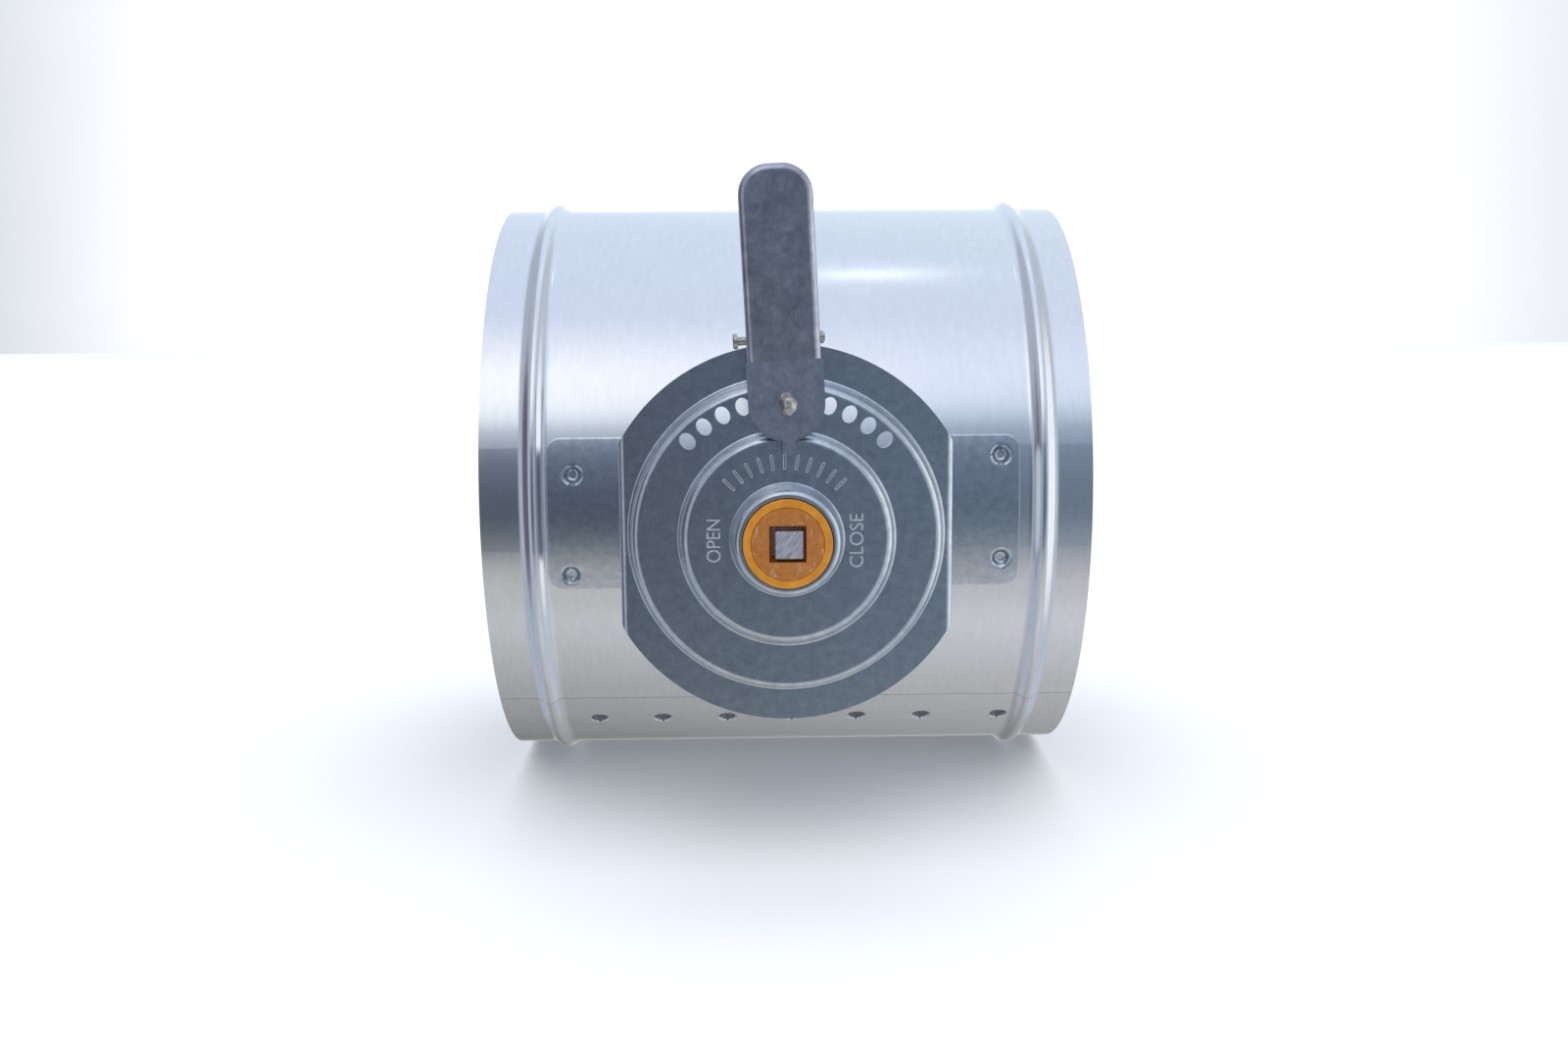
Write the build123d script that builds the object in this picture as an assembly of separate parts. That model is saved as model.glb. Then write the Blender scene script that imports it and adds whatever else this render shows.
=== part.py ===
from build123d import *
import math
import os

# Round-duct volume control damper. All sizes are in millimetres.
#
# Frame: X runs along the duct, -Y points out of the side that carries the dial, +Z is up, and
# the origin is where the shaft's axis crosses the duct's axis.
# A name ending in _H is a height above the sleeve's outer skin, measured outwards along -Y.
# The lever and its pin are drawn upright, with the lever locked, and are then turned to rest.

# ---- Duct sleeve: one rolled sheet with a lapped and clinched seam -------------------------
DUCT_BORE = 200.0            # bore of the duct that slips over either end
SLIP_ALLOWANCE = 1.4         # how much smaller the sleeve is, on diameter
SLEEVE_LENGTH = 195.0
SLEEVE_SHEET = 0.8
SHAFT_OFF_MIDDLE = 1.1       # the shaft stands this much nearer the sleeve's left end
BEAD_SETBACKS = (17.0, 15.6)    # stop bead's crest from the sleeve's left and right end
BEAD_HEIGHT = 2.4
BEAD_HALF_WIDTH = 4.3
BEAD_CREST_R = 2.9
BEAD_FLATS = 3               # flats round the crest
SEAM_ANGLE = -51.0           # degrees round from the dial's side, negative is below it
SEAM_LAP = 30.0
SEAM_JOGGLE = 5.0            # width of the step that carries the inner flap in under the edge
SEAM_SLIT = 0.3              # open line where the outer edge of the sheet stops
SEAM_CLINCH_STEPS = (15.4, 22.0, 22.5, 22.5, 22.5, 22.5, 27.0)   # from the left bead onwards

# ---- Clinch joints: a punched cup that locks one sheet into the next -----------------------
PUNCH_R = 2.9
SEAM_PUNCH_DEPTH = 1.7
FOOT_PUNCH_DEPTH = 2.2
CUP_WALL = 0.8
CUP_FLOOR = 0.7

# ---- Quadrant plate: one pressed sheet with a dial, two folded legs and two feet -----------
DIAL_SHEET = 1.2
DIAL_R = 55.0
LEG_X = 48.3                 # outer face of each folded leg
RIM_H = 43.4
OUTER_STEP_R = 45.5
OUTER_STEP_RISE = 6.6
INNER_STEP_R = 30.9
INNER_STEP_RISE = 3.0
STEP_SLANT = 0.9             # how far each step leans in over its rise
STEP_ROOT_R = 0.9
STEP_CREST_R = 1.6
BEND_FLAT = 1.2              # width of the flats that a pressed bend is made of
BOSS_ROOT_R = 15.7
BOSS_TOP_R = 13.6
BOSS_RISE = 7.0
HOLE_CIRCLE_R = 39.6
HOLE_PITCH = 9.0             # degrees
HOLE_COUNT = 11
HOLE_LONG = 5.5
HOLE_WIDE = 4.4
FOLD_R = 1.9                 # outside radius of the leg and foot folds
FOOT_END_X = 75.0
FOOT_HALF_ANGLE = 14.0
FOOT_CORNER_R = 4.5
# side (-1 left, 1 right), inset from the foot's end, degrees round from the dial's side
FOOT_CLINCHES = ((-1, 8.3, 7.3), (-1, 7.0, -11.3), (1, 5.9, 10.3), (1, 5.6, -8.8))

# ---- Shaft and bushes ----------------------------------------------------------------------
SHAFT_SIDE = 8.6
SHAFT_EDGE_R = 0.5
SHAFT_TAIL = 9.0             # stands out past the sleeve's rear skin
SHAFT_SINK = 0.5             # below the face of the dial hub
SHAFT_FIT = 0.05             # gap on each side of the square
RUNNING_FIT = 0.05           # radial gap between a hub and its ring
RING_FIT = 0.03              # radial gap between a ring and the sheet that holds it
DIAL_RING_R = 12.6
DIAL_HUB_R = 10.2
DIAL_RING_PROUD = 1.0        # stands out past the boss
DIAL_RING_FLANGE_R = 17.0
DIAL_RING_FLANGE = 2.0
DIAL_HUB_FLANGE_R = 13.0
DIAL_HUB_FLANGE = 2.0
DIAL_HUB_POCKET = 10.4       # loose square mouth of the dial hub
DIAL_HUB_POCKET_DEPTH = 4.0
WALL_HUB_WALL = 1.3          # plastic left at the corners of the square hole
WALL_HUB_LIP = 0.7
WALL_HUB_FLANGE = 1.3
WALL_RING_WALL = 2.0
WALL_RING_FLANGE = 3.5
WALL_RING_OUT_H = 2.6
WALL_RING_IN_H = -4.0
WALL_RING_SNAP = 0.7
END_GAP = 0.2                # play along the shaft
WASHER_R = 8.6
WASHER_SHEET = 0.8
WASHER_DISH = 0.8

# ---- Blade, straps and rivets --------------------------------------------------------------
BLADE_CLEARANCE = 1.0        # to the seam's clinch buttons, which stand in furthest
BLADE_SHEET = 1.2
BLADE_DROP = 1.0             # upper face below the shaft's axis, in the open pose
BLADE_END_GAP = 0.8          # from the wall hub to the blade's flat end
BLADE_FLAT_HALF = 16.0
RIB_FROM_AXIS = 48.0
RIB_LENGTH = 104.0
RIB_SECTION_R = 4.5
RIB_RISE = 2.4
RIB_RUN_OUT = 9.0            # length of each pointed end
SEAT_GAP = 0.02
STRAP_SHEET = 1.5
STRAP_WIDTH = 20.0
STRAP_FROM_AXIS = 52.0
STRAP_WING = 12.0
STRAP_CORNER_R = 3.0
RIVET_R = 2.0
RIVET_HOLE_GAP = 0.05
RIVET_CROWN = 0.55           # flat top of a head, as a share of its radius
RIVET_HEAD_R = 3.9
RIVET_HEAD_RISE = 1.3
RIVET_TAIL_R = 2.9
RIVET_TAIL_RISE = 1.6
RIVET_SPACING = 11.0

# ---- Lever arm under the dial, and the pin that the lever turns on -------------------------
LEVER_LEAN = 2.7             # degrees that the lever hangs to the left, about its locking stud
ARM_SHEET = 2.0
ARM_GAP = 1.2                # under the dial's rim
ARM_EYE_R = 12.0
ARM_END = 5.1                # past the pin
EAR_GAP = 0.3                # between an ear and the lever's flange
EAR_R = 3.5
RIM_GAP = 0.9                # from the dial's edge to the ears
PIN_R = 1.2
PIN_HOLE_GAP = 0.05
PIN_PAST_RIM = 1.4
PIN_OVER_RIM = 5.2
PIN_HEAD_R = 2.2
PIN_HEAD = 1.3
PIN_PLAY = 2.4               # between the pin's head and the lever
PIN_END = 1.5                # past the lever's other side
RETAINER_R = 1.8
RETAINER = 0.9
RETAINER_GAP = 0.2

# ---- Lever: a pressed tray with a flat tongue ----------------------------------------------
LEVER_SHEET = 1.2
TONGUE_GAP = 0.3             # over the dial when locked
TONGUE_HALF = 10.75
TONGUE_PAST_STUD = 12.0
POINTER_WIDTH = 3.5
POINTER_LENGTH = 3.9
POINTER_POINT = 1.2
BEND_BELOW_PIN = 6.4
GRIP_HALF = 10.3
GRIP_TILT = 8.0              # degrees outwards
GRIP_LENGTH = 53.6
GRIP_CORNER_R = 8.5
GRIP_EDGE_R = 2.0
FLANGE_UNDER_PIN = 3.3
FLANGE_DEEP_RUN = 12.0
FLANGE_AT_TIP = 6.5
FLANGE_CORNER_R = 3.0
STUD_R = 1.7
STUD_COLLAR_R = 2.6
STUD_COLLAR = 0.8
STUD_HEAD_R = 3.0
STUD_HEAD_RISE = 2.0
STUD_HEAD_EDGE = 0.7         # how far the hammered head is worn in at its edge
STUD_SHORT = 0.1             # its tip stops short of the dial's underside when locked
REST_LIFT = 5.2              # degrees that the lever is squeezed at rest, so that the stud is free
SPRING_WIRE_R = 0.4
SPRING_WIRE_FLATS = 6
SPRING_COIL_R = 2.1
SPRING_PITCH = 1.05
SPRING_TURNS = 3
SPRING_SLACK = 1.0           # between the spring's leg and the lever at rest
SPRING_REACH = 12.0

# ---- Worked out from the sizes above -------------------------------------------------------
SLEEVE_R = (DUCT_BORE - SLIP_ALLOWANCE) / 2
SLEEVE_ENDS = (SHAFT_OFF_MIDDLE - SLEEVE_LENGTH / 2, SHAFT_OFF_MIDDLE + SLEEVE_LENGTH / 2)
BEADS_X = (SLEEVE_ENDS[0] + BEAD_SETBACKS[0], SLEEVE_ENDS[1] - BEAD_SETBACKS[1])
SEAM_BUTTON_IN = SEAM_PUNCH_DEPTH + CUP_FLOOR
ANNULUS_H = RIM_H + OUTER_STEP_RISE
PLATEAU_H = ANNULUS_H + INNER_STEP_RISE
BOSS_H = PLATEAU_H + BOSS_RISE
DIAL_RING_H = BOSS_H + DIAL_RING_PROUD
DIAL_RING_BASE_H = PLATEAU_H - DIAL_SHEET - DIAL_RING_FLANGE
CHORD_HALF = math.sqrt(DIAL_R ** 2 - LEG_X ** 2)
FOOT_HALF = (SLEEVE_R + DIAL_SHEET) * math.sin(math.radians(FOOT_HALF_ANGLE))
SQUARE_HOLE = SHAFT_SIDE + 2 * SHAFT_FIT
SHAFT_CORNER = SHAFT_SIDE / math.sqrt(2)
WALL_HUB_R = SQUARE_HOLE / math.sqrt(2) + WALL_HUB_WALL
WALL_RING_BORE_R = WALL_HUB_R + RUNNING_FIT
WALL_RING_R = WALL_RING_BORE_R + WALL_RING_WALL
WALL_HOLE_R = WALL_RING_R + RING_FIT
WALL_HUB_OUT_H = WALL_RING_OUT_H + END_GAP + WALL_HUB_LIP
WALL_HUB_IN_H = WALL_RING_IN_H - END_GAP - WALL_HUB_FLANGE
BLADE_R = SLEEVE_R - SEAM_BUTTON_IN - BLADE_CLEARANCE
BLADE_END_Y = SLEEVE_R + WALL_HUB_IN_H - BLADE_END_GAP
STRAP_FOOT = SHAFT_CORNER + SEAT_GAP + BLADE_DROP
ARM_TOP_H = RIM_H - DIAL_SHEET - ARM_GAP
ARM_BASE_H = ARM_TOP_H - ARM_SHEET
PIN_Z = DIAL_R + PIN_PAST_RIM
PIN_H = RIM_H + PIN_OVER_RIM
EAR_OUT = GRIP_HALF - LEVER_SHEET - EAR_GAP
EAR_IN = EAR_OUT - ARM_SHEET
TONGUE_H = PLATEAU_H + TONGUE_GAP + LEVER_SHEET
BEND_Z = PIN_Z - BEND_BELOW_PIN
TONGUE_CENTRE_Z = HOLE_CIRCLE_R - TONGUE_PAST_STUD + TONGUE_HALF
BEND_MITRE = LEVER_SHEET * math.tan(math.radians(GRIP_TILT / 2))


# ---- Shared ways of placing and shaping ----------------------------------------------------
def facing(height):
    """Plane that looks out along -Y at a height; its own axes are X and Z."""
    return Plane.XZ.offset(SLEEVE_R + height)


def out(height):
    """Y coordinate of a height."""
    return -(SLEEVE_R + height)


def disc(radius, low, high):
    """Cylinder about the shaft's axis between two heights."""
    return extrude(facing(low) * Circle(radius), high - low)


def square_bar(side, low, high):
    """Square prism about the shaft's axis between two heights."""
    return extrude(facing(low) * Rectangle(side, side), high - low)


def duct_solid(radius):
    """Solid cylinder along the duct, longer than the sleeve."""
    return Plane.YZ * Cylinder(radius, 2 * SLEEVE_LENGTH)


def rounded(points, radii):
    """Corner points of a polyline with each inner corner rounded by a few short flats."""
    path = [Vector(points[0])]
    for before, corner, after, radius in zip(points, points[1:], points[2:], radii):
        corner = Vector(corner)
        way_in = (corner - Vector(before)).normalized()
        way_out = (Vector(after) - corner).normalized()
        turn = way_in.get_signed_angle(way_out, Vector(0, 0, 1))
        flats = max(1, round(math.radians(abs(turn)) * radius / BEND_FLAT))
        start = corner - way_in * radius * math.tan(math.radians(abs(turn) / 2))
        across = way_in.rotate(Axis.Z, math.copysign(90, turn))
        centre = start + across * radius
        path += [centre - across.rotate(Axis.Z, turn * step / flats) * radius
                 for step in range(flats + 1)]
    return path + [Vector(points[-1])]


def pressed_section(points, radii, thickness):
    """Edge-on face of a pressed sheet with its bends in flats; it lies left of the line drawn."""
    path = rounded(points, radii)
    across = [(end - start).normalized().rotate(Axis.Z, 90) for start, end in zip(path, path[1:])]
    mitres = [(one + two) / (1 + one.dot(two))
              for one, two in zip(across[:1] + across, across + across[-1:])]
    other = [point + mitre * thickness for point, mitre in zip(path, mitres)]
    corners = [(round(point.X, 6), round(point.Y, 6)) for point in path + other[::-1]]
    return make_face(Polyline(*corners, close=True))


def sheet_section(points, radii, thickness, side):
    """Edge-on face of a bent sheet: one skin runs along the rounded polyline."""
    skin = FilletPolyline(*points, radius=radii)
    return make_face(offset(skin, amount=thickness, side=side).edges())


def on_sleeve(x, angle):
    """Place on the sleeve's skin, with its own Z pointing straight out."""
    turn = math.radians(angle)
    outward = (0, -math.cos(turn), math.sin(turn))
    origin = (x, SLEEVE_R * outward[1], SLEEVE_R * outward[2])
    return Plane(origin=origin, x_dir=(1, 0, 0), z_dir=outward)


def punch(radius, top, bottom):
    """Round plug between two heights on its own Z axis, for punched cups."""
    return extrude(Plane.XY.offset(bottom) * Circle(radius), top - bottom)


def lean(shape):
    """Lean a lever piece about the axis of the locking stud."""
    return shape.rotate(Axis((0, 0, HOLE_CIRCLE_R), (0, 1, 0)), -LEVER_LEAN)


def to_rest(shape):
    """Turn a piece of the locked lever about its pin to the rest pose, and lean it."""
    pin = Axis((0, out(PIN_H), PIN_Z), (1, 0, 0))
    return lean(shape.rotate(pin, -REST_LIFT))


# ---- Duct sleeve ---------------------------------------------------------------------------
def sleeve_skin(radius, crest_r, root_r):
    """Corner points of one skin of the sleeve, from end to end over both stop beads."""
    crest_centre = SLEEVE_R + BEAD_HEIGHT - BEAD_CREST_R
    rise_from = math.atan2(radius + root_r - crest_centre, BEAD_HALF_WIDTH)
    points = [(SLEEVE_ENDS[0], -radius)]
    for bead_x in BEADS_X:
        points.append((bead_x - BEAD_HALF_WIDTH, -radius))
        for step in range(BEAD_FLATS + 1):
            turn = math.pi - rise_from - (math.pi - 2 * rise_from) * step / BEAD_FLATS
            points.append((bead_x + crest_r * math.cos(turn),
                           -(crest_centre + crest_r * math.sin(turn))))
        points.append((bead_x + BEAD_HALF_WIDTH, -radius))
    return points + [(SLEEVE_ENDS[1], -radius)]


def sleeve_section(outer_offset, inner_offset):
    """Face between two skins of the sleeve, each set in from its outer skin."""
    root_r = (BEAD_HALF_WIDTH ** 2 + BEAD_HEIGHT ** 2) / (2 * BEAD_HEIGHT) - BEAD_CREST_R
    outer, inner = [
        sleeve_skin(SLEEVE_R - inset, BEAD_CREST_R - inset, root_r + inset)
        for inset in (outer_offset, inner_offset)
    ]
    return make_face(Polyline(*outer, *reversed(inner), close=True))


def seam_turn(shape, along):
    """Turn a face drawn on the dial's side round to a distance along the seam's lap."""
    degrees = SEAM_ANGLE + math.degrees(along / SLEEVE_R)
    return shape.rotate(Axis.X, -degrees)


def seam_clinches():
    """Place of each clinch in the seam."""
    x = BEADS_X[0]
    for step in SEAM_CLINCH_STEPS:
        x += step
        yield on_sleeve(x, SEAM_ANGLE)


def foot_clinches():
    """Place of each clinch that holds a foot of the quadrant plate."""
    for side, inset, angle in FOOT_CLINCHES:
        yield on_sleeve(side * (FOOT_END_X - inset), angle)


def make_duct_sleeve():
    """Rolled sheet: two stop beads, a joggled lap inside the seam, clinches, two shaft holes."""
    sleeve = revolve(sleeve_section(0, SLEEVE_SHEET), axis=Axis.X)
    slit = seam_turn(sleeve_section(-0.1, SLEEVE_SHEET), SEAM_LAP / 2)
    sleeve -= revolve(slit, axis=Axis.X, revolution_arc=math.degrees(SEAM_SLIT / SLEEVE_R))
    lap = seam_turn(sleeve_section(SLEEVE_SHEET, 2 * SLEEVE_SHEET), SEAM_LAP / 2 + SEAM_JOGGLE)
    lap_turn = math.degrees((SEAM_LAP + SEAM_JOGGLE) / SLEEVE_R)
    sleeve += revolve(lap, axis=Axis.X, revolution_arc=lap_turn)
    for place in seam_clinches():
        sleeve += place * punch(PUNCH_R + CUP_WALL, -SLEEVE_SHEET, -SEAM_BUTTON_IN)
        sleeve -= place * punch(PUNCH_R, SLEEVE_SHEET, -SEAM_PUNCH_DEPTH)
    foot_cup = FOOT_PUNCH_DEPTH + CUP_FLOOR - DIAL_SHEET
    for place in foot_clinches():
        sleeve += place * punch(PUNCH_R + 2 * CUP_WALL, -SLEEVE_SHEET / 2, -foot_cup - CUP_FLOOR)
        sleeve -= place * punch(PUNCH_R + CUP_WALL, DIAL_SHEET / 2, -foot_cup)
    hole = Plane.XZ * Cylinder(WALL_HOLE_R, 3 * SLEEVE_R)
    return sleeve - hole


# ---- Quadrant plate ------------------------------------------------------------------------
def dial_bowl():
    """Stepped dial as a spun section: rim, annulus, plateau and collar."""
    points = [
        (DIAL_R, RIM_H),
        (OUTER_STEP_R, RIM_H),
        (OUTER_STEP_R - STEP_SLANT, ANNULUS_H),
        (INNER_STEP_R, ANNULUS_H),
        (INNER_STEP_R - STEP_SLANT, PLATEAU_H),
        (BOSS_ROOT_R, PLATEAU_H),
        (BOSS_TOP_R, BOSS_H),
    ]
    radii = [STEP_ROOT_R, STEP_CREST_R, STEP_ROOT_R, STEP_CREST_R, STEP_ROOT_R]
    drawn = [(radius, out(height)) for radius, height in points]
    section = pressed_section(drawn, radii, -DIAL_SHEET)
    bowl = revolve(section, axis=Axis.Y)
    return bowl - disc(DIAL_RING_R + RING_FIT, ARM_TOP_H, DIAL_RING_H)


def leg_and_foot(side):
    """Folded leg and foot on one side; the foot follows the sleeve."""
    fold_in = LEG_X - FOLD_R
    fold = extrude(
        sheet_section([(side * (fold_in - DIAL_SHEET / 4), out(RIM_H)), (side * LEG_X, out(RIM_H)),
                       (side * LEG_X, out(RIM_H - 2 * FOLD_R))],
                      [FOLD_R], DIAL_SHEET, Side.LEFT if side > 0 else Side.RIGHT),
        DIAL_R, both=True)
    fold &= disc(DIAL_R, 0, RIM_H)
    foot_top = SLEEVE_R + DIAL_SHEET
    foot_y = -foot_top * math.cos(math.radians(FOOT_HALF_ANGLE))
    leg_plane = Plane(origin=(side * LEG_X, 0, 0), x_dir=(0, 1, 0), z_dir=(1, 0, 0))
    leg = extrude(leg_plane * make_face(Polyline(
        (out(RIM_H - FOLD_R), -CHORD_HALF), (out(RIM_H - FOLD_R), CHORD_HALF),
        (foot_y, FOOT_HALF), (foot_y, -FOOT_HALF), close=True)), -side * DIAL_SHEET)
    leg -= duct_solid(foot_top + FOLD_R)
    section = pressed_section([(side * LEG_X, -(foot_top + 3 * FOLD_R)), (side * LEG_X, -foot_top),
                               (side * FOOT_END_X, -foot_top)],
                              [FOLD_R], side * DIAL_SHEET)
    foot = revolve(section.rotate(Axis.X, -FOOT_HALF_ANGLE), axis=Axis.X,
                   revolution_arc=2 * FOOT_HALF_ANGLE)
    return fold + leg + foot


def make_quadrant_plate():
    """Pressed dial plate: stepped bowl cut off by two folds, legs, feet, detent holes, cups."""
    middle = extrude(facing(0) * Rectangle(2 * (LEG_X - FOLD_R), 3 * DIAL_R), DIAL_RING_H)
    plate = dial_bowl() & middle
    sides = leg_and_foot(-1) + leg_and_foot(1)
    corner = RectangleRounded(2 * FOOT_END_X, 2 * FOOT_HALF, FOOT_CORNER_R)
    feet_zone = extrude(facing(-SLEEVE_R / 2) * corner, SLEEVE_R / 2 + 2 * DIAL_SHEET)
    upper_zone = extrude(facing(2 * DIAL_SHEET) * Rectangle(3 * DIAL_R, 3 * DIAL_R), RIM_H)
    plate += sides & (feet_zone + upper_zone)
    holes = Sketch() + [
        Rot(0, 0, 90 - HOLE_PITCH * (step - (HOLE_COUNT - 1) / 2)) * Pos(HOLE_CIRCLE_R, 0)
        * SlotOverall(HOLE_LONG, HOLE_WIDE)
        for step in range(HOLE_COUNT)
    ]
    plate -= extrude(facing(ANNULUS_H - 2 * DIAL_SHEET) * holes, 3 * DIAL_SHEET)
    foot_cup = FOOT_PUNCH_DEPTH + CUP_FLOOR - DIAL_SHEET
    for place in foot_clinches():
        plate += place * punch(PUNCH_R + CUP_WALL, DIAL_SHEET / 2, -foot_cup)
        plate -= place * punch(PUNCH_R, 2 * DIAL_SHEET, DIAL_SHEET - FOOT_PUNCH_DEPTH)
    return plate


# ---- Bushes --------------------------------------------------------------------------------
def make_dial_bush_ring():
    """Moulded ring pressed up into the collar; its flange bears on the underside."""
    ring = disc(DIAL_RING_R, DIAL_RING_BASE_H, DIAL_RING_H)
    ring += disc(DIAL_RING_FLANGE_R, DIAL_RING_BASE_H, PLATEAU_H - DIAL_SHEET)
    ring -= disc(DIAL_HUB_R + RUNNING_FIT, DIAL_RING_BASE_H, DIAL_RING_H)
    rims = ring.edges().filter_by(GeomType.CIRCLE).group_by(Axis.Y)[0]
    return chamfer(rims, DIAL_RING_PROUD / 4)


def make_dial_bush_hub():
    """Moulded hub that turns in the ring and stands on the lever arm."""
    hub = disc(DIAL_HUB_R, ARM_TOP_H, DIAL_RING_H)
    flange_top = DIAL_RING_BASE_H - END_GAP
    hub += disc(DIAL_HUB_FLANGE_R, flange_top - DIAL_HUB_FLANGE, flange_top)
    hub -= square_bar(SQUARE_HOLE, ARM_TOP_H, DIAL_RING_H)
    return hub - square_bar(DIAL_HUB_POCKET, DIAL_RING_H - DIAL_HUB_POCKET_DEPTH, DIAL_RING_H)


def wall_bush_ring():
    """Moulded ring in the sleeve's wall: saddle flange outside, snap lip inside."""
    barrel = disc(WALL_RING_R, WALL_RING_IN_H, WALL_RING_OUT_H)
    flange = disc(WALL_RING_R + WALL_RING_FLANGE, -SLEEVE_R / 8, WALL_RING_OUT_H)
    lip = disc(WALL_RING_R + WALL_RING_SNAP, WALL_RING_IN_H, 0) & duct_solid(SLEEVE_R - SLEEVE_SHEET)
    ring = barrel + (flange - duct_solid(SLEEVE_R)) + lip
    return ring - disc(WALL_RING_BORE_R, WALL_RING_IN_H, WALL_RING_OUT_H)


def wall_bush_hub():
    """Moulded spool that carries the square shaft in a wall ring."""
    hub = disc(WALL_HUB_R, WALL_HUB_IN_H, WALL_HUB_OUT_H)
    hub += disc(WALL_RING_R, WALL_HUB_IN_H, WALL_HUB_IN_H + WALL_HUB_FLANGE)
    hub += disc(WALL_HUB_R + WALL_HUB_LIP, WALL_HUB_OUT_H - WALL_HUB_LIP, WALL_HUB_OUT_H)
    return hub - square_bar(SQUARE_HOLE, WALL_HUB_IN_H, WALL_HUB_OUT_H)


def to_rear(shape):
    """Carry a front piece half a turn round to the rear wall."""
    return shape.rotate(Axis.Z, 180)


# ---- Shaft, blade and what holds them ------------------------------------------------------
def make_shaft():
    """Drawn square bar, right through the duct."""
    end_h = DIAL_RING_H - SHAFT_SINK
    length = 2 * SLEEVE_R + end_h + SHAFT_TAIL
    profile = RectangleRounded(SHAFT_SIDE, SHAFT_SIDE, SHAFT_EDGE_R)
    return extrude(facing(end_h) * profile, -length)


def blade_disc_zone():
    """Round outline of the blade with a flat at each end of the shaft."""
    round_zone = Cylinder(BLADE_R, 6 * SHAFT_SIDE)
    return round_zone & Box(2 * SLEEVE_R, 2 * BLADE_END_Y, 6 * SHAFT_SIDE)


def blade_rib(side):
    """Outer and inner bodies of one long pressed rib beside the shaft."""
    centre_z = -BLADE_DROP + RIB_RISE - RIB_SECTION_R
    straight = RIB_LENGTH - 2 * RIB_RUN_OUT
    bodies = []
    for radius in (RIB_SECTION_R, RIB_SECTION_R - BLADE_SHEET):
        run_out = RIB_RUN_OUT * radius / RIB_SECTION_R
        bar = Rot(90, 0, 0) * Cylinder(radius, straight)
        ends = [Pos(0, end * (straight + run_out) / 2, 0) * Rot(-90 * end, 0, 0)
                * Cone(radius, 0, run_out) for end in (-1, 1)]
        bodies.append(Pos(side * RIB_FROM_AXIS, 0, centre_z) * (bar + ends))
    return bodies


def rivet_places():
    """Centre of each rivet in the open pose, on the blade's upper face."""
    for strap_y in (-STRAP_FROM_AXIS, STRAP_FROM_AXIS):
        for side in (-1, 1):
            for step in (-1, 1):
                yield (side * (STRAP_FOOT + STRAP_WING / 2), strap_y + step * RIVET_SPACING / 2)


def rivet_holes():
    """Clearance holes for every rivet."""
    height = 8 * (BLADE_SHEET + STRAP_SHEET)
    return [Pos(x, y, 0) * Cylinder(RIVET_R + RIVET_HOLE_GAP, height) for x, y in rivet_places()]


def half_turned(shape):
    """Turn a piece drawn in the open pose to the middle of the scale."""
    return shape.rotate(Axis.Y, HOLE_PITCH * (HOLE_COUNT - 1) / 2)


def make_damper_blade():
    """Round sheet with a V pressed along the shaft and a stiffening rib on each side."""
    v_half = SHAFT_CORNER + SEAT_GAP - BLADE_DROP
    points = [(-SLEEVE_R, -BLADE_DROP), (-v_half, -BLADE_DROP),
              (0, -BLADE_DROP - v_half), (v_half, -BLADE_DROP), (SLEEVE_R, -BLADE_DROP)]
    section = sheet_section(points, [BLADE_SHEET * 1.5, SHAFT_EDGE_R / 2, BLADE_SHEET * 1.5],
                            BLADE_SHEET, Side.RIGHT)
    blade = extrude(Plane.XZ * section, SLEEVE_R, both=True) & blade_disc_zone()
    upper = Pos(0, 0, -BLADE_DROP + SLEEVE_R) * Box(2 * SLEEVE_R, 2 * SLEEVE_R, 2 * SLEEVE_R)
    for side in (-1, 1):
        skin, hollow = blade_rib(side)
        blade += skin & upper
        blade -= hollow
    return half_turned(blade - rivet_holes())


def blade_strap(strap_y):
    """Bent strap that clamps the shaft's upper corner to the blade."""
    reach = STRAP_FOOT + STRAP_WING
    points = [(-reach, -BLADE_DROP), (-STRAP_FOOT, -BLADE_DROP), (0, SHAFT_CORNER + SEAT_GAP),
              (STRAP_FOOT, -BLADE_DROP), (reach, -BLADE_DROP)]
    section = sheet_section(points, [STRAP_SHEET, SHAFT_EDGE_R / 2, STRAP_SHEET],
                            STRAP_SHEET, Side.LEFT)
    strap = extrude(Plane.XZ * section, STRAP_WIDTH / 2, both=True)
    outline = extrude(RectangleRounded(2 * reach, STRAP_WIDTH, STRAP_CORNER_R), 6 * SHAFT_SIDE,
                      both=True)
    strap = Pos(0, strap_y, 0) * (strap & outline)
    return half_turned(strap - rivet_holes())


def make_blade_rivets():
    """Rivets with low crowned heads, through the straps and the blade, as one group."""
    head = -BLADE_DROP + STRAP_SHEET
    tail = -BLADE_DROP - BLADE_SHEET
    outline = Polyline(
        (0, head + RIVET_HEAD_RISE), (RIVET_HEAD_R * RIVET_CROWN, head + RIVET_HEAD_RISE),
        (RIVET_HEAD_R, head), (RIVET_R, head), (RIVET_R, tail), (RIVET_TAIL_R, tail),
        (RIVET_TAIL_R * RIVET_CROWN, tail - RIVET_TAIL_RISE), (0, tail - RIVET_TAIL_RISE),
        close=True)
    rivet = revolve(Plane.XZ * make_face(outline), axis=Axis.Z)
    return half_turned(Compound([Pos(x, y, 0) * rivet for x, y in rivet_places()]))


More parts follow.
